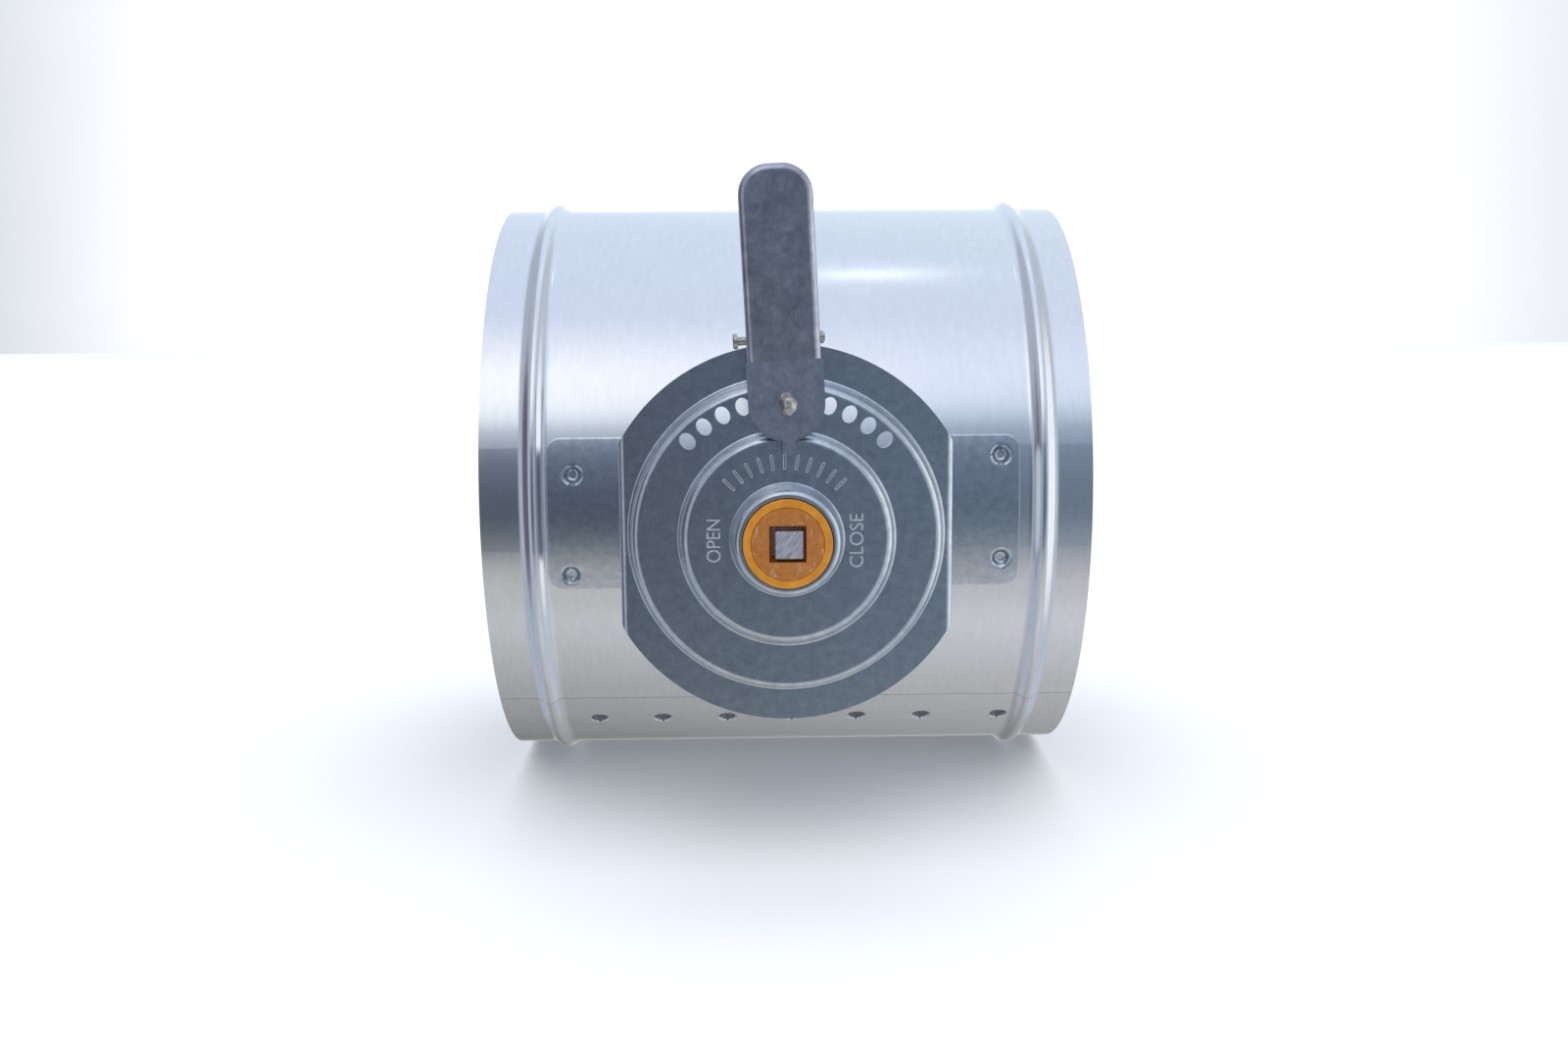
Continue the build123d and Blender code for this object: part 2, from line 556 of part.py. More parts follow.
def push_on_washer(rim_h, dish):
    """Dished washer, slit at the corners of its square hole so that it grips the shaft."""
    flat_r = WASHER_R - 2 * WASHER_SHEET
    points = [(SHAFT_SIDE / 4, out(rim_h + dish)), (flat_r, out(rim_h + dish)),
              (WASHER_R, out(rim_h))]
    section = pressed_section(points, [WASHER_SHEET], WASHER_SHEET)
    washer = revolve(section, axis=Axis.Y)
    low, high = rim_h - 4 * WASHER_SHEET, rim_h + 4 * WASHER_SHEET
    washer -= square_bar(SHAFT_SIDE, low, high)
    for turn in (45, 135):
        slit = Rectangle(SHAFT_SIDE * 1.6, WASHER_SHEET)
        washer -= extrude(facing(low) * (Rot(0, 0, turn) * slit), high - low)
    return washer


# ---- Lever arm, pin and spring -------------------------------------------------------------
def lever_side_plane(x):
    """Plane across the lever at x; its own axes are Z and outward height, from the pin."""
    return Plane(origin=(x, out(PIN_H), PIN_Z), x_dir=(0, 0, 1), z_dir=(1, 0, 0))


def ear(side):
    """Bent-up ear: rises past the dial's edge, then reaches in over the rim to the pin."""
    root_z = RIM_GAP - PIN_PAST_RIM
    drop = PIN_H - ARM_BASE_H
    stem = Pos((root_z + ARM_END) / 2, (EAR_R / 2 - drop) / 2) * Rectangle(ARM_END - root_z,
                                                                         drop + EAR_R / 2)
    flag = stem + Circle(EAR_R)
    flag -= Circle(PIN_R + PIN_HOLE_GAP)
    return extrude(lever_side_plane(side * EAR_IN) * flag, side * ARM_SHEET)


def make_lever_arm():
    """Flat arm on the shaft, under the dial, with two ears that carry the lever's pin."""
    end_z = PIN_Z + ARM_END
    tail = Pos(0, end_z - ARM_EYE_R) * Rectangle(2 * EAR_OUT, 2 * ARM_EYE_R)
    tail = Pos(0, HOLE_CIRCLE_R) * Rot(0, 0, LEVER_LEAN) * Pos(0, -HOLE_CIRCLE_R) * tail
    outline = make_hull(Circle(ARM_EYE_R).edges() + tail.edges())
    arm = extrude(facing(ARM_BASE_H) * outline, ARM_SHEET)
    arm += lean(ear(-1) + ear(1))
    return arm - square_bar(SQUARE_HOLE, ARM_BASE_H, ARM_TOP_H)


def make_pivot_pin():
    """Headed pin through the lever and both ears."""
    head_x = -GRIP_HALF - PIN_PLAY - PIN_HEAD
    end_x = GRIP_HALF + PIN_END
    pin = extrude(lever_side_plane(head_x) * Circle(PIN_R), end_x - head_x)
    pin += extrude(lever_side_plane(head_x) * Circle(PIN_HEAD_R), PIN_HEAD)
    head_edges = pin.edges().filter_by(GeomType.CIRCLE).group_by(Axis.X)
    pin = chamfer(head_edges[0], PIN_HEAD / 4)
    return lean(pin)


def make_pin_retainer():
    """Small push-on ring at the pin's plain end."""
    ring = Circle(RETAINER_R) - Circle(PIN_R)
    return lean(extrude(lever_side_plane(GRIP_HALF + RETAINER_GAP) * ring, RETAINER))


def make_handle_spring():
    """Torsion spring round the pin: one leg stands on the arm, one reaches under the grip."""
    grip_slope = GRIP_TILT - REST_LIFT
    web_h = TONGUE_H - LEVER_SHEET + (BEND_BELOW_PIN + SPRING_REACH) * math.tan(
        math.radians(GRIP_TILT)) - SPRING_REACH * math.sin(math.radians(REST_LIFT)) - PIN_H
    tip_rise = web_h - SPRING_SLACK - SPRING_WIRE_R
    leg_turn = math.degrees(math.atan2(tip_rise + SPRING_COIL_R, SPRING_REACH)) + grip_slope
    turns = SPRING_TURNS + (leg_turn - 90) / 360
    length = SPRING_PITCH * turns
    coil = Helix(SPRING_PITCH, length, SPRING_COIL_R, center=(0, 0, -length / 2))
    wire = RegularPolygon(SPRING_WIRE_R, SPRING_WIRE_FLATS)
    spring = sweep((coil ^ 0) * wire, path=coil, is_frenet=True)
    foot_drop = PIN_H - ARM_TOP_H
    foot = Pos(SPRING_COIL_R, -foot_drop / 2, -length / 2) * Rot(90, 0, 0) * Cylinder(
        SPRING_WIRE_R, foot_drop)
    turn = math.radians(leg_turn)
    start = Vector(SPRING_COIL_R * math.sin(turn), -SPRING_COIL_R * math.cos(turn), length / 2)
    run = math.hypot(SPRING_REACH, tip_rise + SPRING_COIL_R) - SPRING_COIL_R
    heading = Vector(math.cos(turn), math.sin(turn), 0)
    reach = extrude(Plane(origin=start, z_dir=heading) * Circle(SPRING_WIRE_R), run)
    knees = Pos(SPRING_COIL_R, 0, -length / 2) * Sphere(SPRING_WIRE_R)
    knees += Pos(*start) * Sphere(SPRING_WIRE_R)
    return lean(lever_side_plane(0) * (spring + foot + reach + knees))


# ---- Lever ---------------------------------------------------------------------------------
def lever_tongue():
    """Flat tongue with a round end and a pointer."""
    top_z = BEND_Z + BEND_MITRE
    blank = Pos(0, (TONGUE_CENTRE_Z + top_z) / 2) * Rectangle(2 * TONGUE_HALF,
                                                             top_z - TONGUE_CENTRE_Z)
    blank += Pos(0, TONGUE_CENTRE_Z) * Circle(TONGUE_HALF)
    root_z = HOLE_CIRCLE_R - TONGUE_PAST_STUD
    half = POINTER_WIDTH / 2
    tip_z = root_z - POINTER_LENGTH
    blank += make_face(Polyline((-half, TONGUE_CENTRE_Z), (-half, tip_z + POINTER_POINT),
                                (0, tip_z), (half, tip_z + POINTER_POINT),
                                (half, TONGUE_CENTRE_Z), close=True))
    tongue = extrude(facing(TONGUE_H - LEVER_SHEET) * blank, LEVER_SHEET)
    stud_hole = Pos(0, HOLE_CIRCLE_R) * Circle(STUD_R)
    return tongue - extrude(facing(TONGUE_H - LEVER_SHEET) * stud_hole, LEVER_SHEET)


def grip_block(inset):
    """Solid grip, inset from the outer skin, drawn flat: Y runs up the grip, Z points out."""
    half = GRIP_HALF - inset
    length = GRIP_LENGTH - inset
    corner = GRIP_CORNER_R - inset
    run_in = 4 * GRIP_CORNER_R
    blank = Pos(0, (length - run_in) / 2) * RectangleRounded(2 * half, length + run_in, corner)
    depth = 2 * (TONGUE_H - PIN_H + FLANGE_UNDER_PIN)
    block = extrude(Plane.XY.offset(-depth) * blank, depth - inset)
    top = block.faces().sort_by(Axis.Z)[-1]
    return fillet(top.edges(), GRIP_EDGE_R - inset)


def lever_grip():
    """Pressed tray with its flanges turned towards the duct, deepest round the pin."""
    tilt = math.radians(GRIP_TILT)
    pin_up = (BEND_BELOW_PIN * math.cos(tilt)) - (TONGUE_H - PIN_H) * math.sin(tilt)
    pin_in = (TONGUE_H - PIN_H) * math.cos(tilt) + BEND_BELOW_PIN * math.sin(tilt)
    deep = pin_in + FLANGE_UNDER_PIN
    tray = grip_block(0) - grip_block(LEVER_SHEET)
    side = FilletPolyline((-BEND_MITRE, LEVER_SHEET), (-BEND_MITRE, -deep),
                          (pin_up + FLANGE_DEEP_RUN, -deep),
                          (GRIP_LENGTH + 1, -FLANGE_AT_TIP), (GRIP_LENGTH + 1, LEVER_SHEET),
                          radius=[FLANGE_CORNER_R, FLANGE_CORNER_R * 4, LEVER_SHEET])
    outline = make_face(side.edges() + [Line(side @ 1, side @ 0)])
    across = Plane(origin=(0, 0, 0), x_dir=(0, 1, 0), z_dir=(1, 0, 0))
    tray &= extrude(across * outline, 2 * GRIP_HALF, both=True)
    place = Plane(origin=(0, out(TONGUE_H), BEND_Z), x_dir=(1, 0, 0),
                  z_dir=(0, -math.cos(tilt), -math.sin(tilt)))
    tray = place * tray
    pin_hole = extrude(lever_side_plane(0) * Circle(PIN_R + PIN_HOLE_GAP), 2 * GRIP_HALF, both=True)
    return tray - pin_hole


def make_handle_lever():
    """Lever: tongue and grip are one pressing, bent outwards where they meet."""
    return to_rest(lever_tongue() + lever_grip())


def make_lock_stud():
    """Peened stud that drops through the dial's holes."""
    tip = ANNULUS_H - DIAL_SHEET + STUD_SHORT
    under = TONGUE_H - LEVER_SHEET
    crown = TONGUE_H + STUD_HEAD_RISE
    points = [(0, tip), (STUD_R * 0.6, tip), (STUD_R, tip + STUD_R * 0.5),
              (STUD_R, under - STUD_COLLAR), (STUD_COLLAR_R, under - STUD_COLLAR),
              (STUD_COLLAR_R, under), (STUD_R, under), (STUD_R, TONGUE_H),
              (STUD_HEAD_R, TONGUE_H), (STUD_HEAD_R, crown - STUD_HEAD_EDGE),
              (STUD_HEAD_R - STUD_HEAD_EDGE, crown), (0, crown)]
    drawn = [(radius, out(height)) for radius, height in points]
    stud = revolve(make_face(Polyline(*drawn, close=True)), axis=Axis.Y)
    return to_rest(Pos(0, 0, HOLE_CIRCLE_R) * stud)


# ---- Write one STEP file for each piece ----------------------------------------------------
PIECES = {
    "duct_sleeve": make_duct_sleeve,
    "quadrant_plate": make_quadrant_plate,
    "dial_bush_ring": make_dial_bush_ring,
    "dial_bush_hub": make_dial_bush_hub,
    "front_bush_ring": wall_bush_ring,
    "front_bush_hub": wall_bush_hub,
    "rear_bush_ring": lambda: to_rear(wall_bush_ring()),
    "rear_bush_hub": lambda: to_rear(wall_bush_hub()),
    "shaft": make_shaft,
    "damper_blade": make_damper_blade,
    "blade_strap_front": lambda: blade_strap(-STRAP_FROM_AXIS),
    "blade_strap_rear": lambda: blade_strap(STRAP_FROM_AXIS),
    "blade_rivets": make_blade_rivets,
    "lever_arm": make_lever_arm,
    "arm_lock_washer": lambda: push_on_washer(ARM_BASE_H, -WASHER_DISH),
    "rear_lock_washer": lambda: to_rear(push_on_washer(WALL_HUB_OUT_H + WASHER_SHEET,
                                                       WASHER_DISH)),
    "pivot_pin": make_pivot_pin,
    "pin_retainer": make_pin_retainer,
    "handle_spring": make_handle_spring,
    "handle_lever": make_handle_lever,
    "lock_stud": make_lock_stud,
}

os.makedirs("parts", exist_ok=True)
for name, make in PIECES.items():
    export_step(make(), f"parts/{name}.step")
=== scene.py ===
import math

import bmesh
import bpy
from mathutils import Matrix, Vector, noise


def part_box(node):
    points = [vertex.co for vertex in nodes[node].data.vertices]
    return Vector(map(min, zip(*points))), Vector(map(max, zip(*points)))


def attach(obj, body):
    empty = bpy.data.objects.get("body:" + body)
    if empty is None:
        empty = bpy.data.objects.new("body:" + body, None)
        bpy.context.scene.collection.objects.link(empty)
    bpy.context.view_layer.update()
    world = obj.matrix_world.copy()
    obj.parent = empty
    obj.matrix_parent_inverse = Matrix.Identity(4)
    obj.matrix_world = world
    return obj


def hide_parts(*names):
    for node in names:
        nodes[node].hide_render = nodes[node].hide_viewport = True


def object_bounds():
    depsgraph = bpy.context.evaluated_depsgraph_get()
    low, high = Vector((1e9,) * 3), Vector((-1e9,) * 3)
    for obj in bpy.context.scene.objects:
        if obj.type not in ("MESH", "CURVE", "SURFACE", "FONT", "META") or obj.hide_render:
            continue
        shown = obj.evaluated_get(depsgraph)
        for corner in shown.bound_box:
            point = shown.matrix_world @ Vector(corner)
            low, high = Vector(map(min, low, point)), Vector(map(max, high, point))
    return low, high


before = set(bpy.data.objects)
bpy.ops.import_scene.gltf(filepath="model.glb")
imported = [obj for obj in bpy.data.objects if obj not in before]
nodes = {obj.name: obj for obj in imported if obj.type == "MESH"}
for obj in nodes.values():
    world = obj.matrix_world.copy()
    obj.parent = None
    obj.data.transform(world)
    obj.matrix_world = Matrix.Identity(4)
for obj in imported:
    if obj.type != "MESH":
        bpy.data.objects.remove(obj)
cad_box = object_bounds()

# --- The view -----------------------------------------------------------------------------------
# A camera level with the damper's upper half, square to the dial and looking slightly down at it.
CAMERA_PLACE = (-0.00844, -0.5777, 0.0700)
CAMERA_YAW = math.radians(1.017)
CAMERA_PITCH = math.radians(8.708)
CAMERA_ROLL = math.radians(-0.40)
CAMERA_LENS = 34.94
SENSOR_WIDTH = 36.0

scene = bpy.context.scene
camera = bpy.data.objects.new("camera", bpy.data.cameras.new("camera"))
scene.collection.objects.link(camera)
camera.data.lens = CAMERA_LENS
camera.data.sensor_width = SENSOR_WIDTH
camera.data.clip_start, camera.data.clip_end = 0.01, 50
ahead = Vector((math.sin(CAMERA_YAW) * math.cos(CAMERA_PITCH),
                math.cos(CAMERA_YAW) * math.cos(CAMERA_PITCH), -math.sin(CAMERA_PITCH)))
right = ahead.cross(Vector((0, 0, 1))).normalized()
up = right.cross(ahead)
rolled_right = math.cos(CAMERA_ROLL) * right + math.sin(CAMERA_ROLL) * up
rolled_up = math.cos(CAMERA_ROLL) * up - math.sin(CAMERA_ROLL) * right
camera.matrix_world = Matrix((rolled_right, rolled_up, -ahead)).transposed().to_4x4()
camera.location = CAMERA_PLACE
scene.camera = camera
scene.view_settings.view_transform = "Standard"


def colour(code):
    """A linear colour from its sRGB hex code."""
    parts = [int(code[i:i + 2], 16) / 255 for i in (1, 3, 5)]
    return tuple(p / 12.92 if p <= 0.04045 else ((p + 0.055) / 1.055) ** 2.4 for p in parts) + (1,)


def add(tree, kind, links=None, **settings):
    """Adds a node to a tree, sets its sockets and properties, and links its inputs."""
    node = tree.nodes.new(kind)
    for name, value in settings.items():
        if hasattr(node, name):
            setattr(node, name, value)
        else:
            node.inputs[name.replace("_", " ")].default_value = value
    for name, source in (links or {}).items():
        tree.links.new(source, node.inputs[name])
    return node


# --- The studio ---------------------------------------------------------------------------------
# A bright room seen as bands round the duct's axis: floor, the dim side where the viewer stands,
# the window light above it, and a pale ceiling and back wall. Soft light comes from everywhere.
# Each row: degrees up from the viewer's horizon, over the top and down behind; left, right tones.
BANDS = (
    (-180, "#ffffff", "#ffffff"),  # white floor behind
    (-168, "#f4f4f4", "#f4f4f4"),
    (-150, "#707070", "#8c8c8c"),  # shade under the duct
    (-88, "#a0a0a0", "#b0b0b0"),   # floor running towards the viewer
    (-55, "#bcbcbc", "#c8c8cc"),
    (-31, "#b0b0ac", "#a8a8ac"),   # far edge of the floor
    (-19, "#586068", "#788490"),   # dim side where the viewer stands
    (-8, "#404450", "#606c7c"),
    (20, "#646c80", "#6c7c90"),
    (30, "#e8f0f8", "#b0bcd0"),    # window
    (37, "#ffffff", "#d4dcf0"),
    (50, "#ffffff", "#d8e0f4"),
    (74, "#ccd4e8", "#ccd4e4"),    # pale ceiling and back wall
    (160, "#ccd8e8", "#d0dce8"),
    (170, "#f8f8f8", "#f8f8f8"),
    (180, "#ffffff", "#ffffff"),
)
ROOM_LIGHT = 1.35
world = bpy.data.worlds.new("studio")
scene.world = world
world.use_nodes = True
sky = world.node_tree
sky.nodes.clear()
place = add(sky, "ShaderNodeTexCoord").outputs["Generated"]
axes = add(sky, "ShaderNodeSeparateXYZ", {"Vector": place})
towards = add(sky, "ShaderNodeMath", {0: axes.outputs["Y"]}, operation="MULTIPLY")
towards.inputs[1].default_value = -1
angle = add(sky, "ShaderNodeMath", {0: axes.outputs["Z"], 1: towards.outputs[0]}, operation="ARCTAN2")


def mapped(tree, value, from_low, from_high):
    """A value carried from its own range to 0..1."""
    node = add(tree, "ShaderNodeMapRange", {"Value": value})
    node.inputs["From Min"].default_value = from_low
    node.inputs["From Max"].default_value = from_high
    return node.outputs[0]


def tones(tree, factor, *stops):
    """A colour ramp over a factor, from (position, colour code) pairs."""
    ramp = add(tree, "ShaderNodeValToRGB", {"Fac": factor})
    elements = ramp.color_ramp.elements
    while len(elements) < len(stops):
        elements.new(0.5)
    for element, (position, code) in zip(elements, stops):
        element.position = position
        element.color = colour(code)
    return ramp.outputs[0]


def mixed(tree, factor, first, second):
    """One colour passing into another with a factor."""
    node = add(tree, "ShaderNodeMix", data_type="RGBA")
    tree.links.new(factor, node.inputs[0])
    for socket, value in ((node.inputs[6], first), (node.inputs[7], second)):
        if isinstance(value, str):
            socket.default_value = colour(value)
        else:
            tree.links.new(value, socket)
    return node.outputs[2]


turn = mapped(sky, angle.outputs[0], -math.pi, math.pi)
bands = [tones(sky, turn, *[((row[0] + 180) / 360, row[side]) for row in BANDS]) for side in (1, 2)]
room = mixed(sky, mapped(sky, axes.outputs["X"], -0.14, 0.15), *bands)
room = mixed(sky, mapped(sky, axes.outputs["X"], -0.28, -0.5), room, "#a4abb6")
room = mixed(sky, mapped(sky, axes.outputs["X"], -0.86, -0.95), room, "#5e5468")
room = mixed(sky, mapped(sky, axes.outputs["X"], 0.3, 0.55), room, "#b4bac4")
room = mixed(sky, mapped(sky, axes.outputs["X"], 0.80, 0.92), room, "#f4f6f9")
backdrop = add(sky, "ShaderNodeBackground", {"Color": room}, Strength=ROOM_LIGHT)
add(sky, "ShaderNodeOutputWorld", {"Surface": backdrop.outputs[0]})

FLOOR_DROP = 0.0006
FLOOR_REACH = 4
floor_mesh = bpy.data.meshes.new("floor")
floor_z = cad_box[0].z - FLOOR_DROP
corners = ((-1, -1), (1, -1), (1, 1), (-1, 1))
floor_mesh.from_pydata([(FLOOR_REACH * x, FLOOR_REACH * y, floor_z) for x, y in corners], [], [(0, 1, 2, 3)])
floor = bpy.data.objects.new("floor", floor_mesh)
scene.collection.objects.link(floor)
floor.visible_glossy = False
paper = bpy.data.materials.new("white paper")
paper.use_nodes = True
tree = paper.node_tree
tree.nodes["Principled BSDF"].inputs["Base Color"].default_value = colour("#fbfaf8")
tree.nodes["Principled BSDF"].inputs["Roughness"].default_value = 0.9
floor_mesh.materials.append(paper)


def area_lamp(name, place, size, watts):
    """A rectangular lamp that faces straight down."""
    lamp = bpy.data.objects.new(name, bpy.data.lights.new(name, "AREA"))
    scene.collection.objects.link(lamp)
    lamp.data.shape = "RECTANGLE"
    lamp.data.size, lamp.data.size_y = size
    lamp.data.energy = watts
    lamp.location = place
    return lamp


area_lamp("tube", (0.10, 0.07, 1.0), (0.09, 0.025), 0.03)
area_lamp("ceiling", (0, 0, 3.5), (9.0, 9.0), 185.0).visible_glossy = False


def new_material(name):
    """A material holding one shader, with its node tree and the place of a point in millimetres."""
    material = bpy.data.materials.new(name)
    material.use_nodes = True
    tree = material.node_tree
    place = add(tree, "ShaderNodeTexCoord").outputs["Object"]
    in_mm = add(tree, "ShaderNodeVectorMath", {0: place}, operation="SCALE", Scale=1000.0).outputs[0]
    return material, tree, tree.nodes["Principled BSDF"], in_mm


def stretched(tree, vector, factors):
    """A point's place with its three axes scaled, so that a pattern is drawn out along one."""
    scaled = add(tree, "ShaderNodeVectorMath", {0: vector}, operation="MULTIPLY")
    scaled.inputs[1].default_value = factors
    return scaled.outputs[0]


def spread(tree, factor, low, high):
    """A factor's middle range carried to low..high."""
    mapped = add(tree, "ShaderNodeMapRange", {"Value": factor})
    mapped.inputs["From Min"].default_value = 0.3
    mapped.inputs["From Max"].default_value = 0.7
    mapped.inputs["To Min"].default_value = low
    mapped.inputs["To Max"].default_value = high
    return mapped.outputs[0]


def sheet_piece(name, points, faces, thickness, worn, *materials):
    """A smooth mesh piece from millimetre points; with a thickness it is sheet under that skin."""
    mesh = bpy.data.meshes.new(name)
    mesh.from_pydata([[v / 1000 for v in point] for point in points], [], faces)
    work = bmesh.new()
    work.from_mesh(mesh)
    bmesh.ops.remove_doubles(work, verts=work.verts, dist=1e-6)
    work.to_mesh(mesh)
    work.free()
    piece = bpy.data.objects.new(name, mesh)
    scene.collection.objects.link(piece)
    if thickness:
        solid = piece.modifiers.new("sheet", "SOLIDIFY")
        solid.thickness = thickness / 1000
        solid.offset = -1
        if worn:
            edges = piece.modifiers.new("worn_edges", "BEVEL")
            edges.width = worn / 1000
            edges.segments = 2
            edges.angle_limit = math.radians(50)
        shaped = bpy.data.meshes.new_from_object(piece.evaluated_get(bpy.context.evaluated_depsgraph_get()))
        piece.modifiers.clear()
        piece.data = mesh = shaped
    mesh.shade_smooth()
    mesh.set_sharp_from_angle(angle=math.radians(40))
    for material in materials:
        mesh.materials.append(material)
    flats = piece.modifiers.new("flats_stay_flat", "WEIGHTED_NORMAL")
    flats.keep_sharp = True
    return piece


def dress(material, *names):
    """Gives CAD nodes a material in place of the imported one."""
    for name in names:
        data = nodes[name].data
        data.materials.clear()
        data.materials.append(material)


# --- Duct sleeve --------------------------------------------------------------------------------
# Galvanised sheet rolled into a tube: two stop beads, a lapped seam below the dial held by a row
# of punched clinches, and the buttons of the four clinches that hold the plate's feet.
SLEEVE_R = 99.3
SLEEVE_SHEET = 0.8
SLEEVE_ENDS = (-96.4, 98.6)
BEADS_X = (-79.4, 83.0)
BEAD_RISE, BEAD_HALF, BEAD_CREST_R = 2.25, 4.9, 2.6
SEAM_ANGLE, SEAM_EDGE, SEAM_FLAP, SEAM_SLIT = -51.0, 15.0, 20.0, 0.15
SEAM_CLINCHES = (-64.0, -42.0, -19.5, 3.0, 25.5, 48.0, 75.0)
FOOT_CLINCHES = ((-66.7, 7.3), (-68.0, -11.3), (69.1, 10.3), (69.4, -8.8))
CLINCH_R, CLINCH_DEPTH, FOOT_CLINCH_DEPTH = 2.9, 1.7, 2.4
FINE, COARSE, NEAR = 0.5, 5.0, 3.6
BEAD_STEPS, FLAP_GAP = 10, 0.02


def bead_height(x):
    """How far the sleeve's skin stands out at x, over a crest arc and two root arcs."""
    away = min(abs(x - bead) for bead in BEADS_X)
    root_r = (BEAD_HALF ** 2 + BEAD_RISE ** 2) / (2 * BEAD_RISE) - BEAD_CREST_R
    if away < BEAD_HALF * BEAD_CREST_R / (BEAD_CREST_R + root_r):
        return BEAD_RISE - BEAD_CREST_R + math.sqrt(BEAD_CREST_R ** 2 - away ** 2)
    return root_r - math.sqrt(root_r ** 2 - max(0.0, BEAD_HALF - away) ** 2)


def dish(distance, radius):
    """Share of a punched cup's depth at a distance from its middle, with a rounded mouth."""
    t = min(1.0, max(0.0, (radius + 0.3 - distance) / (0.55 * radius)))
    return t * t * (3 - 2 * t)


def grid_lines(low, high, places, fine, coarse, near):
    """Positions from low to high, close together near the given places."""
    lines = {low, high}
    for place in places:
        count = round(2 * near / fine)
        lines |= {place - near + 2 * near * i / count for i in range(count + 1)}
    lines = sorted(v for v in lines if low <= v <= high)
    filled = []
    for a, b in zip(lines, lines[1:]):
        steps = max(1, math.ceil((b - a) / coarse))
        filled += [a + (b - a) * i / steps for i in range(steps)]
    return filled + [high]


per_mm = 180 / math.pi / SLEEVE_R  # degrees round the duct for a millimetre of skin


def sleeve_skin(radius, from_angle, to_angle, clinches):
    """Points and faces of one skin of the sleeve between two angles round the duct."""
    xs = grid_lines(*SLEEVE_ENDS, [x for x, _, _ in clinches], FINE, COARSE, NEAR)
    xs = sorted(set(xs) | {bead - BEAD_HALF + BEAD_HALF * i / BEAD_STEPS
                           for bead in BEADS_X for i in range(2 * BEAD_STEPS + 1)})
    angles = grid_lines(from_angle, to_angle, [a for _, a, _ in clinches],
                        FINE * per_mm, COARSE * per_mm, NEAR * per_mm)
    points, faces = [], []
    for angle in angles:
        for x in xs:
            sunk = sum(depth * dish(math.hypot(x - cx, (angle - ca) / per_mm), CLINCH_R)
                       for cx, ca, depth in clinches
                       if abs(x - cx) < NEAR and abs(angle - ca) < NEAR * per_mm)
            r = radius + bead_height(x) - sunk
            turn = math.radians(angle)
            points.append((x, -r * math.cos(turn), r * math.sin(turn)))
    width = len(xs)
    for row in range(len(angles) - 1):
        for column in range(width - 1):
            first = row * width + column
            faces.append((first, first + 1, first + width + 1, first + width))
    return points, faces


seam = [(x, SEAM_ANGLE, CLINCH_DEPTH) for x in SEAM_CLINCHES]
feet = [(x, angle, FOOT_CLINCH_DEPTH) for x, angle in FOOT_CLINCHES]
edge = SEAM_ANGLE + SEAM_EDGE * per_mm
around = [(x, angle + 360 if angle < edge else angle, depth) for x, angle, depth in seam + feet]
points, faces = sleeve_skin(SLEEVE_R, edge + SEAM_SLIT * per_mm, edge + 360, around)
flap_points, flap_faces = sleeve_skin(SLEEVE_R - SLEEVE_SHEET - FLAP_GAP, SEAM_ANGLE - SEAM_EDGE * per_mm,
                                      SEAM_ANGLE + SEAM_FLAP * per_mm, seam)
faces += [tuple(len(points) + i for i in face) for face in flap_faces]
points += flap_points

# Galvanised cold-rolled steel: a near mirror, softened by faint streaks along the rolling.
zinc, tree, shader, place = new_material("galvanised_rolled_steel")
mottle = add(tree, "ShaderNodeTexNoise", {"Vector": stretched(tree, place, (0.5, 0.16, 0.16))},
             Scale=1.0, Detail=6.0, Roughness=0.6).outputs["Fac"]
grain = add(tree, "ShaderNodeTexNoise", {"Vector": stretched(tree, place, (3.0, 0.12, 0.12))},
            Scale=1.0, Detail=3.0, Roughness=0.6).outputs["Fac"]
skin = tones(tree, mottle, (0.30, "#dcdfe3"), (0.5, "#dfe2e6"), (0.7, "#e2e5e9"))
tree.links.new(skin, shader.inputs["Base Color"])
tree.links.new(spread(tree, grain, 0.20, 0.225), shader.inputs["Roughness"])
shader.inputs["Metallic"].default_value = 1
bump = add(tree, "ShaderNodeBump", {"Height": grain}, Strength=0.04, Distance=0.00001)
tree.links.new(bump.outputs[0], shader.inputs["Normal"])
sleeve = sheet_piece("sleeve", points, faces, SLEEVE_SHEET, 0, zinc)
# Painted shade in each clinch of the seam: a darker zinc colour stands in for the shade inside the cup, and
# the zinc is also duller where the punch struck.
cup_shade_and_dulled_zinc, tree, shader, place = new_material("punch_cup_shade_and_dulled_zinc")
rub = add(tree, "ShaderNodeTexNoise", {"Vector": place},
          Scale=1.5, Detail=4.0, Roughness=0.6).outputs["Fac"]
tree.links.new(tones(tree, rub, (0.3, "#6c6c70"), (0.7, "#8a8b8f")), shader.inputs["Base Color"])
tree.links.new(spread(tree, rub, 0.4, 0.55), shader.inputs["Roughness"])
shader.inputs["Metallic"].default_value = 0.8
sleeve.data.materials.append(cup_shade_and_dulled_zinc)
# The faces inside the seam clinches take this painted cup shade.
row = math.radians(SEAM_ANGLE)
for polygon in sleeve.data.polygons:
    x, y, z = polygon.center * 1000
    off_row = SLEEVE_R * (math.atan2(z, -y) - row)
    if any(math.hypot(x - cx, off_row) < CLINCH_R for cx in SEAM_CLINCHES):
        polygon.material_index = 1
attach(sleeve, "casing")
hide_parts("duct_sleeve")
dress(zinc, "damper_blade", "blade_strap_front", "blade_strap_rear")

